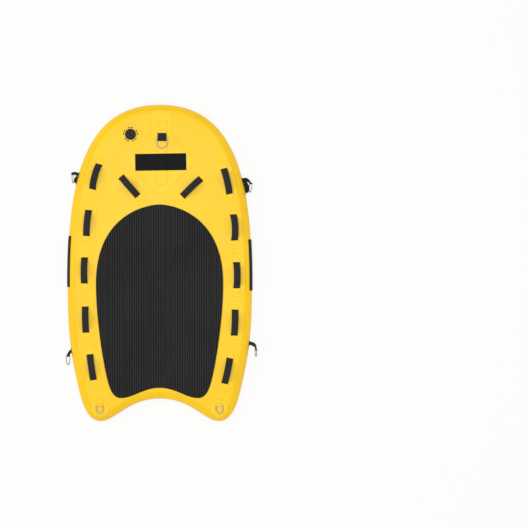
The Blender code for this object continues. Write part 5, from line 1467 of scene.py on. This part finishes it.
def build_tail_ring(side, x, y, turn):
    node = "tail_ring_" + side
    place = Matrix.Translation((x, y + TAIL_EYE_AHEAD, 0.0)) @ Matrix.Rotation(radians(turn), 4, "Z")
    away = place.inverted()
    half, lift, slope = TAIL_STRAP_WIDTH / 2 + GAP, 2 * TAIL_STRAP_LAYER + GAP, TAIL_RIDGE_SLOPE
    slit_aft, slit_fore, end = [u - TAIL_EYE_AHEAD for u in (*TAIL_SLIT, TAIL_STRAP_END)]

    def low(plan):
        heights = []
        for (px, py), edge in zip(plan, edge_distance(plan, [RAIL.points])):
            over = 1 - ease(edge, *TAIL_BLEND)
            radius = SKIN_OUT + GAP + over * (RAIL_RADIUS - SKIN_OUT - GAP + TAIL_PATCH_CLEARANCE)
            out = min(max(0.0, RAIL_RADIUS - edge), radius)
            v, u = (away @ Vector((px, py, 0.0)))[:2]
            rise = ease(half + slope - abs(v), 0.0, slope) * ease(u, slit_aft, slit_fore)
            rise *= ease(end + GAP + slope - u, 0.0, slope)
            heights.append(MID_Z + sqrt(radius**2 - out**2) + lift * rise)
        return np.array(heights)

    slit = [(-half, slit_aft), (half, slit_aft), (half, slit_fore), (-half, slit_fore)]
    slit = [tuple((place @ Vector((px, py, 0.0)))[:2]) for px, py in slit]
    sheet = closed_sheet([circle((x, y), TAIL_PATCH_RADIUS, 72), slit], low, FABRIC, TAIL_PATCH_PITCH)
    item = make_piece("tail_cover_" + side, sheet, "yellow_patch", ["tail_ring_patch_" + side])
    base, eye_z = PATCH_LOW + TAIL_STRAP_LAYER, DECK_Z + TAIL_EYE_RISE
    bend, bend_rise = TAIL_STRAP_BEND
    line = [(end - TAIL_STRAP_HIDDEN, base), (slit_fore - GAP, base),
            (slit_fore * bend, (base + eye_z) / 2 + bend_rise), (0.0, eye_z)]
    strap_edge = lambda p, k, share, along: place @ Vector((k * TAIL_STRAP_WIDTH / 2, p[0], p[1]))
    tab = folded_webbing(line, TAIL_RING[2], TAIL_STRAP_LAYER, strap_edge)
    make_piece("tail_strap_" + side, tab, "yellow_patch", ["tail_ring_strap_" + side])
    way, drop = place.to_3x3(), radians(TAIL_RING_DROP)
    hang = way @ Vector((0, -cos(drop), -sin(drop)))
    build_ring(node, TAIL_RING, place @ Vector((0.0, 0.0, eye_z)), way @ Vector((1, 0, 0)), hang)


def rail_strip(run, angles, outer, inner):
    """A strip bonded to the rail, with rounded edges."""
    sheet, rows = Sheet(), []
    for i, s in enumerate(run):
        end_share = min(1.0, min(i, len(run) - 1 - i) / 2)
        row = []
        for k, angle in enumerate(angles):
            share = min(end_share, min(k, len(angles) - 1 - k) / 2)
            rise = STRIP_EDGE_SHARE + (1 - STRIP_EDGE_SHARE) * sqrt(1 - (1 - min(1.0, share)) ** 2)
            row.append((angle, inner + (outer - inner) * rise))
        row += [(angle, inner) for angle in angles[::-1]]
        rows.append([sheet.add(RAIL.point(s, angle, radius), (s, radians(angle) * RAIL_RADIUS))
                     for angle, radius in row])
    width = len(rows[0])
    for a, b in zip(rows, rows[1:]):
        sheet.faces += [(a[k], a[(k + 1) % width], b[(k + 1) % width], b[k]) for k in range(width)]
    sheet.faces += [tuple(rows[0]), tuple(rows[-1])]
    return sheet


def edge_steps(low, high, edge, middle):
    """Values from low to high with two close steps at each end."""
    inner = [low + edge + (high - low - 2 * edge) * i / middle for i in range(1, middle)]
    return [low, low + edge * 0.4, low + edge] + inner + [high - edge, high - edge * 0.4, high]


def tab_loop(name, side):
    """The tail of a forward tab, which arches off the rail between the tab's foot and a foot of its own."""
    fore_y, aft_y, height, lean, power = TAB_LOOPS[name]
    start, end = RAIL.at_y(side, fore_y), RAIL.at_y(side, aft_y)
    low, way = RAIL_RADIUS + GAP + LOOP_THICKNESS / 2, 1 if end > start else -1
    span = abs(end - start) - 2 * LOOP_FOOT
    path = [(start, low, 0.0)]
    for t in (i / LOOP_STEPS for i in range(LOOP_STEPS + 1)):
        rise = sin(pi * t) ** power
        turn = radians(lean) * ease(rise, 0.0, LOOP_LEANS_BY)
        path.append((start + way * (LOOP_FOOT + span * t), low + height * rise, turn))
    path.append((end, low, 0.0))
    middle = [RAIL.frame(s)[0] + RAIL.frame(s)[1] * out for s, out, _ in path]
    section = webbing_section(LOOP_WIDTH, LOOP_THICKNESS)
    sections, cuts, run = [], [], 0.0
    for i, (p, (_, _, turn)) in enumerate(zip(middle, path)):
        along = (middle[min(i + 1, len(middle) - 1)] - middle[max(i - 1, 0)]).normalized()
        out = Vector((along.y, -along.x)) * -side
        run += (p - middle[i - 1]).length if i else 0.0
        row = []
        for across, up in section:
            off, lift = up * cos(turn) + across * sin(turn), across * cos(turn) - up * sin(turn)
            row.append((p.x + off * out.x, p.y + off * out.y, MID_Z + lift))
        sections.append(row)
        cuts.append([(across, run) for across, _ in section])
    return swept(sections, cuts=cuts)


def build_side_fitting(name, side, root_y, eye, hang, lean):
    """A ring on the rail, with the tab that holds it, the tab's foot and, where it has one, its loop."""
    root_lean, bend_out, *twist = TAB_LIES[name]
    s = RAIL.at_y(side, root_y)
    foot_in = RAIL_RADIUS + GAP
    centre, outward = RAIL.frame(s)
    root, eye = centre + outward * (foot_in + GAP), Vector(eye)
    bend = root + outward * (eye - root).dot(outward) * bend_out
    curl = eye + Vector(TAB_CURL[name]) if name in TAB_CURL else eye.lerp(bend, 2 / 3)
    hang = Vector(hang).normalized()
    bar = Vector((side * sin(radians(lean)), 0.0, cos(radians(lean))))
    bar = (bar - hang * bar.dot(hang)).normalized()
    stretch = 1 / sqrt(1 - bar.xy.length_squared) - 1
    plan_way, root_lean = bar.xy.normalized(), radians(root_lean)

    def edge(p, k, share, along):
        """A point across the tab: its root follows the rail's round and its end lies along the ring's bar."""
        p = p + plan_way * (p - eye).dot(plan_way) * stretch * share**4
        leaned = Vector((-along.y, along.x)) * side * sin(root_lean)
        way = Vector((*leaned, cos(root_lean))).lerp(bar, ease(share, *twist)).normalized()
        near = 1 - ease(share, 0.0, TAB_ROOT_BEND)
        high = k * TAB_WIDTH / 2 * cos(root_lean) - TAB_ROOT_DROP
        p = p - outward * (RAIL_RADIUS - sqrt(RAIL_RADIUS**2 - high**2)) * near
        square_end = share * (p - eye).dot(bar.xy)
        return Vector((*p, MID_Z - TAB_ROOT_DROP * near)) + way * (k * TAB_WIDTH / 2 - square_end)

    points = bezier(root, root.lerp(bend, 2 / 3), curl, eye, TAB_STEPS)[0]
    line = [tuple(p) for p in points if (Vector(p) - eye).length > TAB_LAYER + SIDE_RING[2]] + [tuple(eye)]
    tab = folded_webbing(line, SIDE_RING[2], TAB_LAYER, edge)
    close_row, close_angle, rows = TAB_FOOT_ROWS
    run = edge_steps(s - TAB_FOOT_HALF, s + TAB_FOOT_HALF, close_row, rows)
    angles = edge_steps(*TAB_FOOT_ANGLES, close_angle, rows)
    tab.join(rail_strip(run, angles, foot_in + TAB_FOOT_THICKNESS, foot_in))
    if name in TAB_LOOPS:
        tab.join(tab_loop(name, side))
    make_piece("side_tab_" + name, tab, "black_webbing", ["side_ring_tab_" + name])
    build_ring("side_ring_" + name, SIDE_RING, (*eye, MID_Z), bar, hang)


def build_side_panels():
    inner = RAIL_RADIUS + GAP
    angles = edge_steps(-PANEL_ANGLE, PANEL_ANGLE, *PANEL_ANGLE_ROWS)
    for name, side, fore_y, aft_y in SIDE_PANELS:
        start, end = sorted((RAIL.at_y(side, fore_y), RAIL.at_y(side, aft_y)))
        sheet = rail_strip(edge_steps(start, end, *PANEL_RUN_ROWS), angles, inner + PANEL_THICKNESS, inner)
        make_piece("grip_" + name, sheet, "grip_rubber", [name])


# Valve


def build_valve_patch():
    loops = [circle(VALVE_CENTRE, VALVE_PATCH_RADIUS, 96), circle(VALVE_CENTRE, VALVE_HOLE_RADIUS, 72)]
    sheet = closed_sheet(loops, lambda plan: np.full(len(plan), PATCH_LOW), FABRIC, VALVE_PATCH_PITCH)
    item = make_piece("valve_cover", sheet, "yellow_patch", ["valve_patch"])


def build_valve_ticks():
    """Marks round the valve, in pairs of groups."""
    valve = bpy.context.scene.sled_valve
    inner, outer = TICK_RING
    group = [TICK_TURN * (k - (valve.group_ticks - 1) / 2) for k in range(valve.group_ticks)]
    turns = []
    for pair in range(valve.tick_pairs):
        for half in (-1, 1):
            middle = TICK_START + 360.0 * pair / valve.tick_pairs + TICK_PAIR_TURN * half / 2
            turns += [middle + turn for turn in group]
    marks = Sheet()
    box = ((3, 2, 1, 0), (4, 5, 6, 7), (0, 1, 5, 4), (1, 2, 6, 5), (2, 3, 7, 6), (3, 0, 4, 7))
    for a in map(radians, turns):
        way, side = Vector((cos(a), sin(a))), Vector((-sin(a), cos(a))) * TICK_HALF_WIDTH
        corners = [way * inner - side, way * outer - side, way * outer + side, way * inner + side]
        first = len(marks.points)
        for z in TICK_HEIGHTS:
            for c in corners:
                marks.add((VALVE_CENTRE[0] + c.x, VALVE_CENTRE[1] + c.y, PATCH_TOP + z))
        marks.faces += [tuple(first + i for i in face) for face in box]
    make_piece("valve_ticks", marks, "rubber")


def build_valve_body():
    """Barrel, flange and neck turned in one, with a web inside that guides the stem and lets air through."""
    bore, outside, deep = BARREL
    flange, low, top = FLANGE
    neck, neck_top = NECK
    groove_in, groove_out, groove_rim, groove_deep = FLANGE_GROOVE
    guide = STEM_RADIUS + GAP
    profile = [(bore, -deep), (outside, -deep), (outside, low), (flange, low), (flange, top)]
    profile += [(neck + groove_rim, top), (neck + groove_out, top - groove_deep)]
    profile += [(neck + groove_in, top - groove_deep), (neck, top), (neck, neck_top), (bore, neck_top)]
    profile += [(bore, WEB[1]), (guide, WEB[1]), (guide, WEB[0]), (bore, WEB[0])]
    sheet = turned(rounded_profile(profile, BODY_ROUND), VALVE_CENTRE)
    item = make_piece("valve_housing", sheet, "valve_plastic", ["valve_body"])
    under, over = WEB[0] - AIR_HOLE_MARGIN, WEB[1] + AIR_HOLE_MARGIN
    rod = [(0.0, under), (AIR_HOLE_RADIUS, under), (AIR_HOLE_RADIUS, over), (0.0, over)]
    holes = Sheet()
    for centre in circle(VALVE_CENTRE, AIR_HOLE_ORBIT, AIR_HOLES):
        holes.join(turned(rod, centre, AIR_HOLE_STEPS))
    mesh = bpy.data.meshes.new("air_hole_guide")
    mesh.from_pydata(holes.points, [], holes.faces)
    cutter = bpy.data.objects.new("air_hole_guide", mesh)
    bpy.context.scene.collection.objects.link(cutter)
    modifier = item.modifiers.new("air holes", "BOOLEAN")
    modifier.operation = "DIFFERENCE"
    modifier.object = cutter
    apply_modifiers(item)
    bpy.data.objects.remove(cutter)


def apply_modifiers(item):
    """Puts the result of the modifiers into the object's own mesh."""
    evaluated = item.evaluated_get(bpy.context.evaluated_depsgraph_get())
    made = bpy.data.meshes.new_from_object(evaluated)
    item.modifiers.clear()
    item.data = made


def build_valve_plunger():
    """Push button, stem and the disc that seals the barrel's foot."""
    seat = -BARREL[2] - GAP
    radius, thickness = PLUNGER_DISC
    under = seat - thickness
    head, head_low, head_top = PLUNGER_HEAD
    profile = [(0.0, under - PLUNGER_TAIL), (STEM_RADIUS, under - PLUNGER_TAIL), (STEM_RADIUS, under)]
    profile += [(radius, under), (radius, seat), (STEM_RADIUS, seat), (STEM_RADIUS, head_low)]
    profile += [(head, head_low), (head, head_top), (0.0, head_top)]
    sheet = turned(rounded_profile(profile, PLUNGER_ROUND), VALVE_CENTRE, PLUNGER_STEPS)
    make_piece("valve_push_button", sheet, "valve_plastic", ["valve_plunger"], body="plunger")


def build_valve_spring():
    """The coil under the push button, made here at one length, though it shortens as the button is pressed."""
    foot, head = WEB[1] + GAP + SPRING_WIRE, PLUNGER_HEAD[1] - GAP - SPRING_WIRE
    up = Vector((0.0, 0.0, 1.0))
    turns = [2 * pi * k / SPRING_SIDES for k in range(SPRING_SIDES)]
    sections, count = [], SPRING_TURNS * SPRING_STEPS
    for i in range(count + 1):
        a = 2 * pi * i / SPRING_STEPS
        out = Vector((cos(a), sin(a), 0.0))
        middle = Vector((*VALVE_CENTRE, DECK_Z + foot + (head - foot) * i / count)) + out * SPRING_RADIUS
        sections.append([middle + (out * cos(b) + up * sin(b)) * SPRING_WIRE for b in turns])
    item = make_piece("valve_return_spring", swept(sections), "stainless", ["valve_spring"])
    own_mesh(item)


def build_valve_cap():
    """The sealing ring, and the fluted cap with its grip."""
    seal_z = NECK[1] + GAP + SEAL_WIRE
    turns = [2 * pi * i / SEAL_SIDES for i in range(SEAL_SIDES)]
    ring = [(SEAL_RADIUS + SEAL_WIRE * cos(a), seal_z + SEAL_WIRE * sin(a)) for a in turns]
    make_piece("cap_sealing_ring", turned(ring, VALVE_CENTRE), "rubber", ["cap_seal"], body="seal")
    low, ceiling, top = CAP_HEIGHTS
    profile = [(CAP_BORE, low), (CAP_RADIUS, low)]
    profile += [(CAP_RADIUS - away, top - down) for away, down in CAP_EDGE]
    profile += [(0.0, top - CAP_EDGE[-1][1]), (0.0, ceiling), (CAP_BORE, ceiling)]
    rounded = rounded_profile(profile, CAP_ROUND)
    wall = {k for k, (r, h) in enumerate(rounded)
            if r > CAP_RADIUS - CAP_WALL_MARGINS[0] and low < h < top - CAP_WALL_MARGINS[1]}
    cap = turned(rounded, VALVE_CENTRE, CAP_STEPS, fluted=wall)
    turn = Matrix.Rotation(radians(GRIP_TURN), 2)
    length, width = GRIP_SIZE
    sections = []
    for share, z in GRIP_LEVELS:
        less = GRIP_TAPER * (1 - share)
        loop = rounded_rectangle(width - less, length - less, width * GRIP_CORNER, 6)
        sections.append([(*(Vector(VALVE_CENTRE) + turn @ Vector(c)), DECK_Z + z) for c in loop])
    cap.join(swept(sections))
    make_piece("valve_screw_cap", cap, "valve_plastic", ["valve_cap"], body="cap")


def finish_inner_parts():
    """Finishes of the CAD nodes that stay as they are."""
    kinds = {"drop_stitch_core": "inner_fabric", "valve_gasket": "rubber", "valve_nut": "valve_plastic"}
    for name, kind in kinds.items():
        for material_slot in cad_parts[name].material_slots:
            material_slot.material = finish_for(kind)


# Studio


def build_floor(stage):
    """Paper floor that shows as nearly white and still takes the sled's shadow."""
    half = stage.floor_size / 2
    mesh = bpy.data.meshes.new("studio_floor")
    corners = [(-half, -half, 0.0), (half, -half, 0.0), (half, half, 0.0), (-half, half, 0.0)]
    mesh.from_pydata(corners, [], [(0, 1, 2, 3)])
    floor = bpy.data.objects.new("studio_floor", mesh)
    floor.location.z = -FLOOR_DROP
    bpy.context.scene.collection.objects.link(floor)
    finish = Finish("studio_paper", 0.9, specular=0.1)
    finish.done(tuple(stage.floor_colour))
    light = finish.node("ShaderNodeLightPath")
    seen = finish.math("MAXIMUM", light.outputs["Is Camera Ray"], light.outputs["Is Glossy Ray"])
    seen = finish.math("MAXIMUM", seen, light.outputs["Is Transmission Ray"])
    share = finish.math("MULTIPLY", seen, stage.floor_lift)
    glow = finish.node("ShaderNodeEmission", {"Color": WHITE, "Strength": 1.0})
    paper = {0: share, 1: finish.shader.outputs[0], 2: glow.outputs[0]}
    mixed = finish.node("ShaderNodeMixShader", paper)
    finish.feed(finish.tree.nodes["Material Output"].inputs["Surface"], mixed.outputs[0])
    floor.data.materials.append(finish.material)


def build_lights(stage):
    """Even light from all round, which shows as white, and the lamps."""
    world = bpy.data.worlds.new("studio")
    bpy.context.scene.world = world
    world.use_nodes = True
    tree = world.node_tree
    sky, paper = tree.nodes["Background"], tree.nodes.new("ShaderNodeBackground")
    for background, strength in ((sky, stage.sky_strength), (paper, 1.0)):
        background.inputs["Color"].default_value = WHITE
        background.inputs["Strength"].default_value = strength
    light = tree.nodes.new("ShaderNodeLightPath")
    mixed = tree.nodes.new("ShaderNodeMixShader")
    tree.links.new(light.outputs["Is Camera Ray"], mixed.inputs[0])
    tree.links.new(sky.outputs[0], mixed.inputs[1])
    tree.links.new(paper.outputs[0], mixed.inputs[2])
    tree.links.new(mixed.outputs[0], tree.nodes["World Output"].inputs["Surface"])
    for name, place, size, power in LAMPS:
        lamp = bpy.data.lights.new(name, "AREA")
        lamp.size = size
        lamp.energy = getattr(stage, power)
        item = bpy.data.objects.new(name, lamp)
        item.location = place
        item.rotation_euler = (-Vector(place)).to_track_quat("-Z", "Y").to_euler()
        bpy.context.scene.collection.objects.link(item)


def build_camera():
    """Camera high over the photograph's frame, looking straight down."""
    camera = bpy.data.cameras.new("photo_camera")
    camera.sensor_width = SENSOR
    camera.lens = SENSOR * (CAMERA_HEIGHT - DECK_Z) / PHOTO_WIDTH
    camera.clip_end = CAMERA_REACH
    item = bpy.data.objects.new("photo_camera", camera)
    item.location = (*CAMERA_PLACE, CAMERA_HEIGHT)
    bpy.context.scene.collection.objects.link(item)
    bpy.context.scene.camera = item
    bpy.context.scene.view_settings.view_transform = "Standard"


# Settings


def colour_setting(name, description, default):
    return FloatVectorProperty(name=name, description=description, default=default, subtype="COLOR",
                               min=0.0, max=1.0)


def length_setting(name, description, default):
    return FloatProperty(name=name, description=description, default=default, unit="LENGTH", min=0.0,
                         precision=4)


def power_setting(name, description, default):
    return FloatProperty(name=name, description=description, default=default, unit="POWER", min=0.0)


class SledFabric(bpy.types.PropertyGroup):
    """Colours of the coated fabric."""

    skin_colour: colour_setting("Skins", "Colour of the deck and base skins", (1.0, 0.616, 0.011))
    band_colour: colour_setting("Rail bands", "Colour of the bands round the rail", (1.0, 0.604, 0.011))
    patch_colour: colour_setting("Patches", "Colour of the patches and tail straps", (1.0, 0.630, 0.014))
    yarn_colour: colour_setting("Yarn", "Colour of the yarn inside the hull", (0.78, 0.75, 0.66))


class SledDark(bpy.types.PropertyGroup):
    """Colours and ribs of the black sheets, foam and webbing."""

    foam_colour: colour_setting("Foam", "Colour of the deck pad", (0.021, 0.021, 0.022))
    skid_colour: colour_setting("Skid sheet", "Colour of the ribbed sheet by the nose", (0.026, 0.027, 0.030))
    base_colour: colour_setting("Base sheet", "Colour of the smooth sheet by the tail", (0.031, 0.033, 0.038))
    webbing_colour: colour_setting("Webbing", "Colour of the straps and tabs", (0.020, 0.020, 0.020))
    plate_colour: colour_setting("Plate", "Colour of the bow plate", (0.006, 0.006, 0.007))
    grip_colour: colour_setting("Side panels", "Colour of the grip panels on the rail", (0.020, 0.020, 0.021))
    rib_pitch: length_setting("Rib pitch", "Distance between the ribs of the skid sheet", 0.01225)
    rib_depth: length_setting("Rib depth", "Depth of the furrows between the skid sheet's ribs", 0.0007)


class SledPad(bpy.types.PropertyGroup):
    """Sizes of the ribbed deck pad."""

    thickness: length_setting("Thickness", "Thickness of the foam", 0.005)
    rib_pitch: length_setting("Rib pitch", "Distance between the lengthwise ribs", 0.0137)
    groove_width: length_setting("Groove width", "Width of the grooves between the ribs", 0.0052)
    groove_depth: length_setting("Groove depth", "Depth of the grooves between the ribs", 0.0022)


class SledHandles(bpy.types.PropertyGroup):
    """Sizes of the webbing handles and their patches."""

    width: length_setting("Strap width", "Width of the handle webbing", 0.038)
    thickness: length_setting("Strap thickness", "Thickness of the handle webbing", 0.002)
    height: length_setting("Height", "Height of the arch above the deck", 0.033)
    patch_width: length_setting("Patch width", "Width of the patch over a handle's ends", 0.094)
    patch_length: length_setting("Patch length", "Length of the patch over a handle's ends", 0.240)
    patch_corner: length_setting("Patch corner", "Radius of the patch's corners", 0.044)


class SledRings(bpy.types.PropertyGroup):
    """Finish of the D rings."""

    steel_colour: colour_setting("Steel", "Colour of the rings", (0.50, 0.47, 0.42))
    wire_scale: FloatProperty(name="Wire scale", description="Thickness of the ring wire against the frame's",
                              default=1.0, min=0.8, max=1.0, subtype="FACTOR")


class SledValve(bpy.types.PropertyGroup):
    """Finish of the inflation valve."""

    plastic_colour: colour_setting("Plastic", "Colour of the moulded parts", (0.011, 0.011, 0.011))
    rubber_colour: colour_setting("Rubber", "Colour of the seals and marks", (0.018, 0.018, 0.018))
    tick_pairs: IntProperty(name="Pairs", description="Pairs of groups of marks round the valve", default=5,
                            min=1, max=7)
    group_ticks: IntProperty(name="Ticks", description="Marks in each group", default=5, min=1, max=5)


class SledStage(bpy.types.PropertyGroup):
    """Floor and light of the studio."""

    floor_colour: colour_setting("Floor", "Colour of the paper floor", (0.90, 0.90, 0.90))
    floor_size: length_setting("Floor size", "Length of the floor's sides", 30.0)
    floor_lift: FloatProperty(name="Floor lift", description="How far the seen floor is lifted towards white",
                              default=0.88, min=0.0, max=1.0, subtype="FACTOR")
    sky_strength: FloatProperty(name="Sky", description="Strength of the even light from all round",
                                default=0.73, min=0.0, max=2.0)
    key_power: power_setting("Key light", "Power of the softbox overhead", 76.0)
    fill_power: power_setting("Fill light", "Power of the window on the port side", 24.0)


# Operators and panel


class SLED_OT_hull(bpy.types.Operator):
    """Build the deck and base skins of the air chamber"""

    bl_idname = "sled.hull"
    bl_label = "Hull skins"

    def execute(self, context):
        build_skins()
        return {"FINISHED"}


class SLED_OT_bands(bpy.types.Operator):
    """Build the two bands round the rail"""

    bl_idname = "sled.bands"
    bl_label = "Rail bands"

    def execute(self, context):
        build_bands()
        return {"FINISHED"}


class SLED_OT_base_sheets(bpy.types.Operator):
    """Build the ribbed and the smooth sheet under the hull"""

    bl_idname = "sled.base_sheets"
    bl_label = "Base sheets"

    def execute(self, context):
        port, starboard = RAIL.at_y(-1, SHEET_JOINT_Y), RAIL.at_y(1, SHEET_JOINT_Y)
        build_skid_sheet(RAIL.run(starboard, port, SKID_STEP))
        build_tail_sheet(RAIL.run(port + GAP, starboard - GAP, TAIL_STEP))
        return {"FINISHED"}


class SLED_OT_pad(bpy.types.Operator):
    """Build the ribbed foam pad on deck"""

    bl_idname = "sled.pad"
    bl_label = "Deck pad"

    def execute(self, context):
        build_pad()
        return {"FINISHED"}


class SLED_OT_handles(bpy.types.Operator):
    """Build the webbing handles and their patches"""

    bl_idname = "sled.handles"
    bl_label = "Handles"

    def execute(self, context):
        build_handles()
        return {"FINISHED"}


class SLED_OT_bow(bpy.types.Operator):
    """Build the bow patch, its webbing, plate and ring"""

    bl_idname = "sled.bow"
    bl_label = "Bow fittings"

    def execute(self, context):
        build_bow_patch()
        build_bow_webbing()
        build_plate()
        eye = (BOW_WEBBING_X, BOW_EYE_Y, DECK_Z + BOW_RING_RISE)
        build_ring("bow_ring", BOW_RING, eye, (1, 0, 0), (0, -1, 0))
        return {"FINISHED"}


class SLED_OT_tail(bpy.types.Operator):
    """Build the tail rings, their straps and patches"""

    bl_idname = "sled.tail"
    bl_label = "Tail rings"

    def execute(self, context):
        for row in TAIL_RINGS:
            build_tail_ring(*row)
        return {"FINISHED"}


class SLED_OT_sides(bpy.types.Operator):
    """Build the rings, tabs and panels on the rail"""

    bl_idname = "sled.sides"
    bl_label = "Side fittings"

    def execute(self, context):
        for row in SIDE_RINGS:
            build_side_fitting(*row)
        build_side_panels()
        return {"FINISHED"}


class SLED_OT_valve(bpy.types.Operator):
    """Build the inflation valve and its patch"""

    bl_idname = "sled.valve"
    bl_label = "Valve"

    def execute(self, context):
        build_valve_patch()
        build_valve_ticks()
        build_valve_body()
        build_valve_plunger()
        build_valve_spring()
        build_valve_cap()
        return {"FINISHED"}


class SLED_OT_inner_parts(bpy.types.Operator):
    """Finish the parts inside the hull and the valve"""

    bl_idname = "sled.inner_parts"
    bl_label = "Inner parts"

    def execute(self, context):
        finish_inner_parts()
        return {"FINISHED"}


class SLED_OT_stage(bpy.types.Operator):
    """Build the floor, the lights and the camera"""

    bl_idname = "sled.stage"
    bl_label = "Studio"

    def execute(self, context):
        build_floor(context.scene.sled_stage)
        build_lights(context.scene.sled_stage)
        build_camera()
        return {"FINISHED"}


GROUPS = {
    "sled_fabric": SledFabric,
    "sled_dark": SledDark,
    "sled_pad": SledPad,
    "sled_handles": SledHandles,
    "sled_rings": SledRings,
    "sled_valve": SledValve,
    "sled_stage": SledStage,
}
OPERATORS = (
    SLED_OT_hull, SLED_OT_bands, SLED_OT_base_sheets, SLED_OT_pad, SLED_OT_handles, SLED_OT_bow, SLED_OT_tail,
    SLED_OT_sides, SLED_OT_valve, SLED_OT_inner_parts, SLED_OT_stage,
)


class SLED_PT_build(bpy.types.Panel):
    """The sled's settings and the pieces that they make"""

    bl_label = "Rescue sled"
    bl_space_type = "VIEW_3D"
    bl_region_type = "UI"
    bl_category = "Rescue sled"

    def draw(self, context):
        for name, group in GROUPS.items():
            box = self.layout.box()
            box.label(text=group.__doc__)
            for key in group.__annotations__:
                box.prop(getattr(context.scene, name), key)
        for kind in OPERATORS:
            self.layout.operator(kind.bl_idname)


def register():
    for name, group in GROUPS.items():
        bpy.utils.register_class(group)
        setattr(bpy.types.Scene, name, PointerProperty(type=group))
    for kind in (*OPERATORS, SLED_PT_build):
        bpy.utils.register_class(kind)


def unregister():
    for kind in (SLED_PT_build, *reversed(OPERATORS)):
        bpy.utils.unregister_class(kind)
    for name, group in reversed(GROUPS.items()):
        delattr(bpy.types.Scene, name)
        bpy.utils.unregister_class(group)


def main():
    register()
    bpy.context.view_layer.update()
    bpy.ops.sled.stage()
    bpy.ops.sled.hull()
    bpy.ops.sled.bands()
    bpy.ops.sled.base_sheets()
    bpy.ops.sled.pad()
    bpy.ops.sled.handles()
    bpy.ops.sled.bow()
    bpy.ops.sled.tail()
    bpy.ops.sled.sides()
    bpy.ops.sled.valve()
    bpy.ops.sled.inner_parts()


if __name__ == "__main__":
    main()
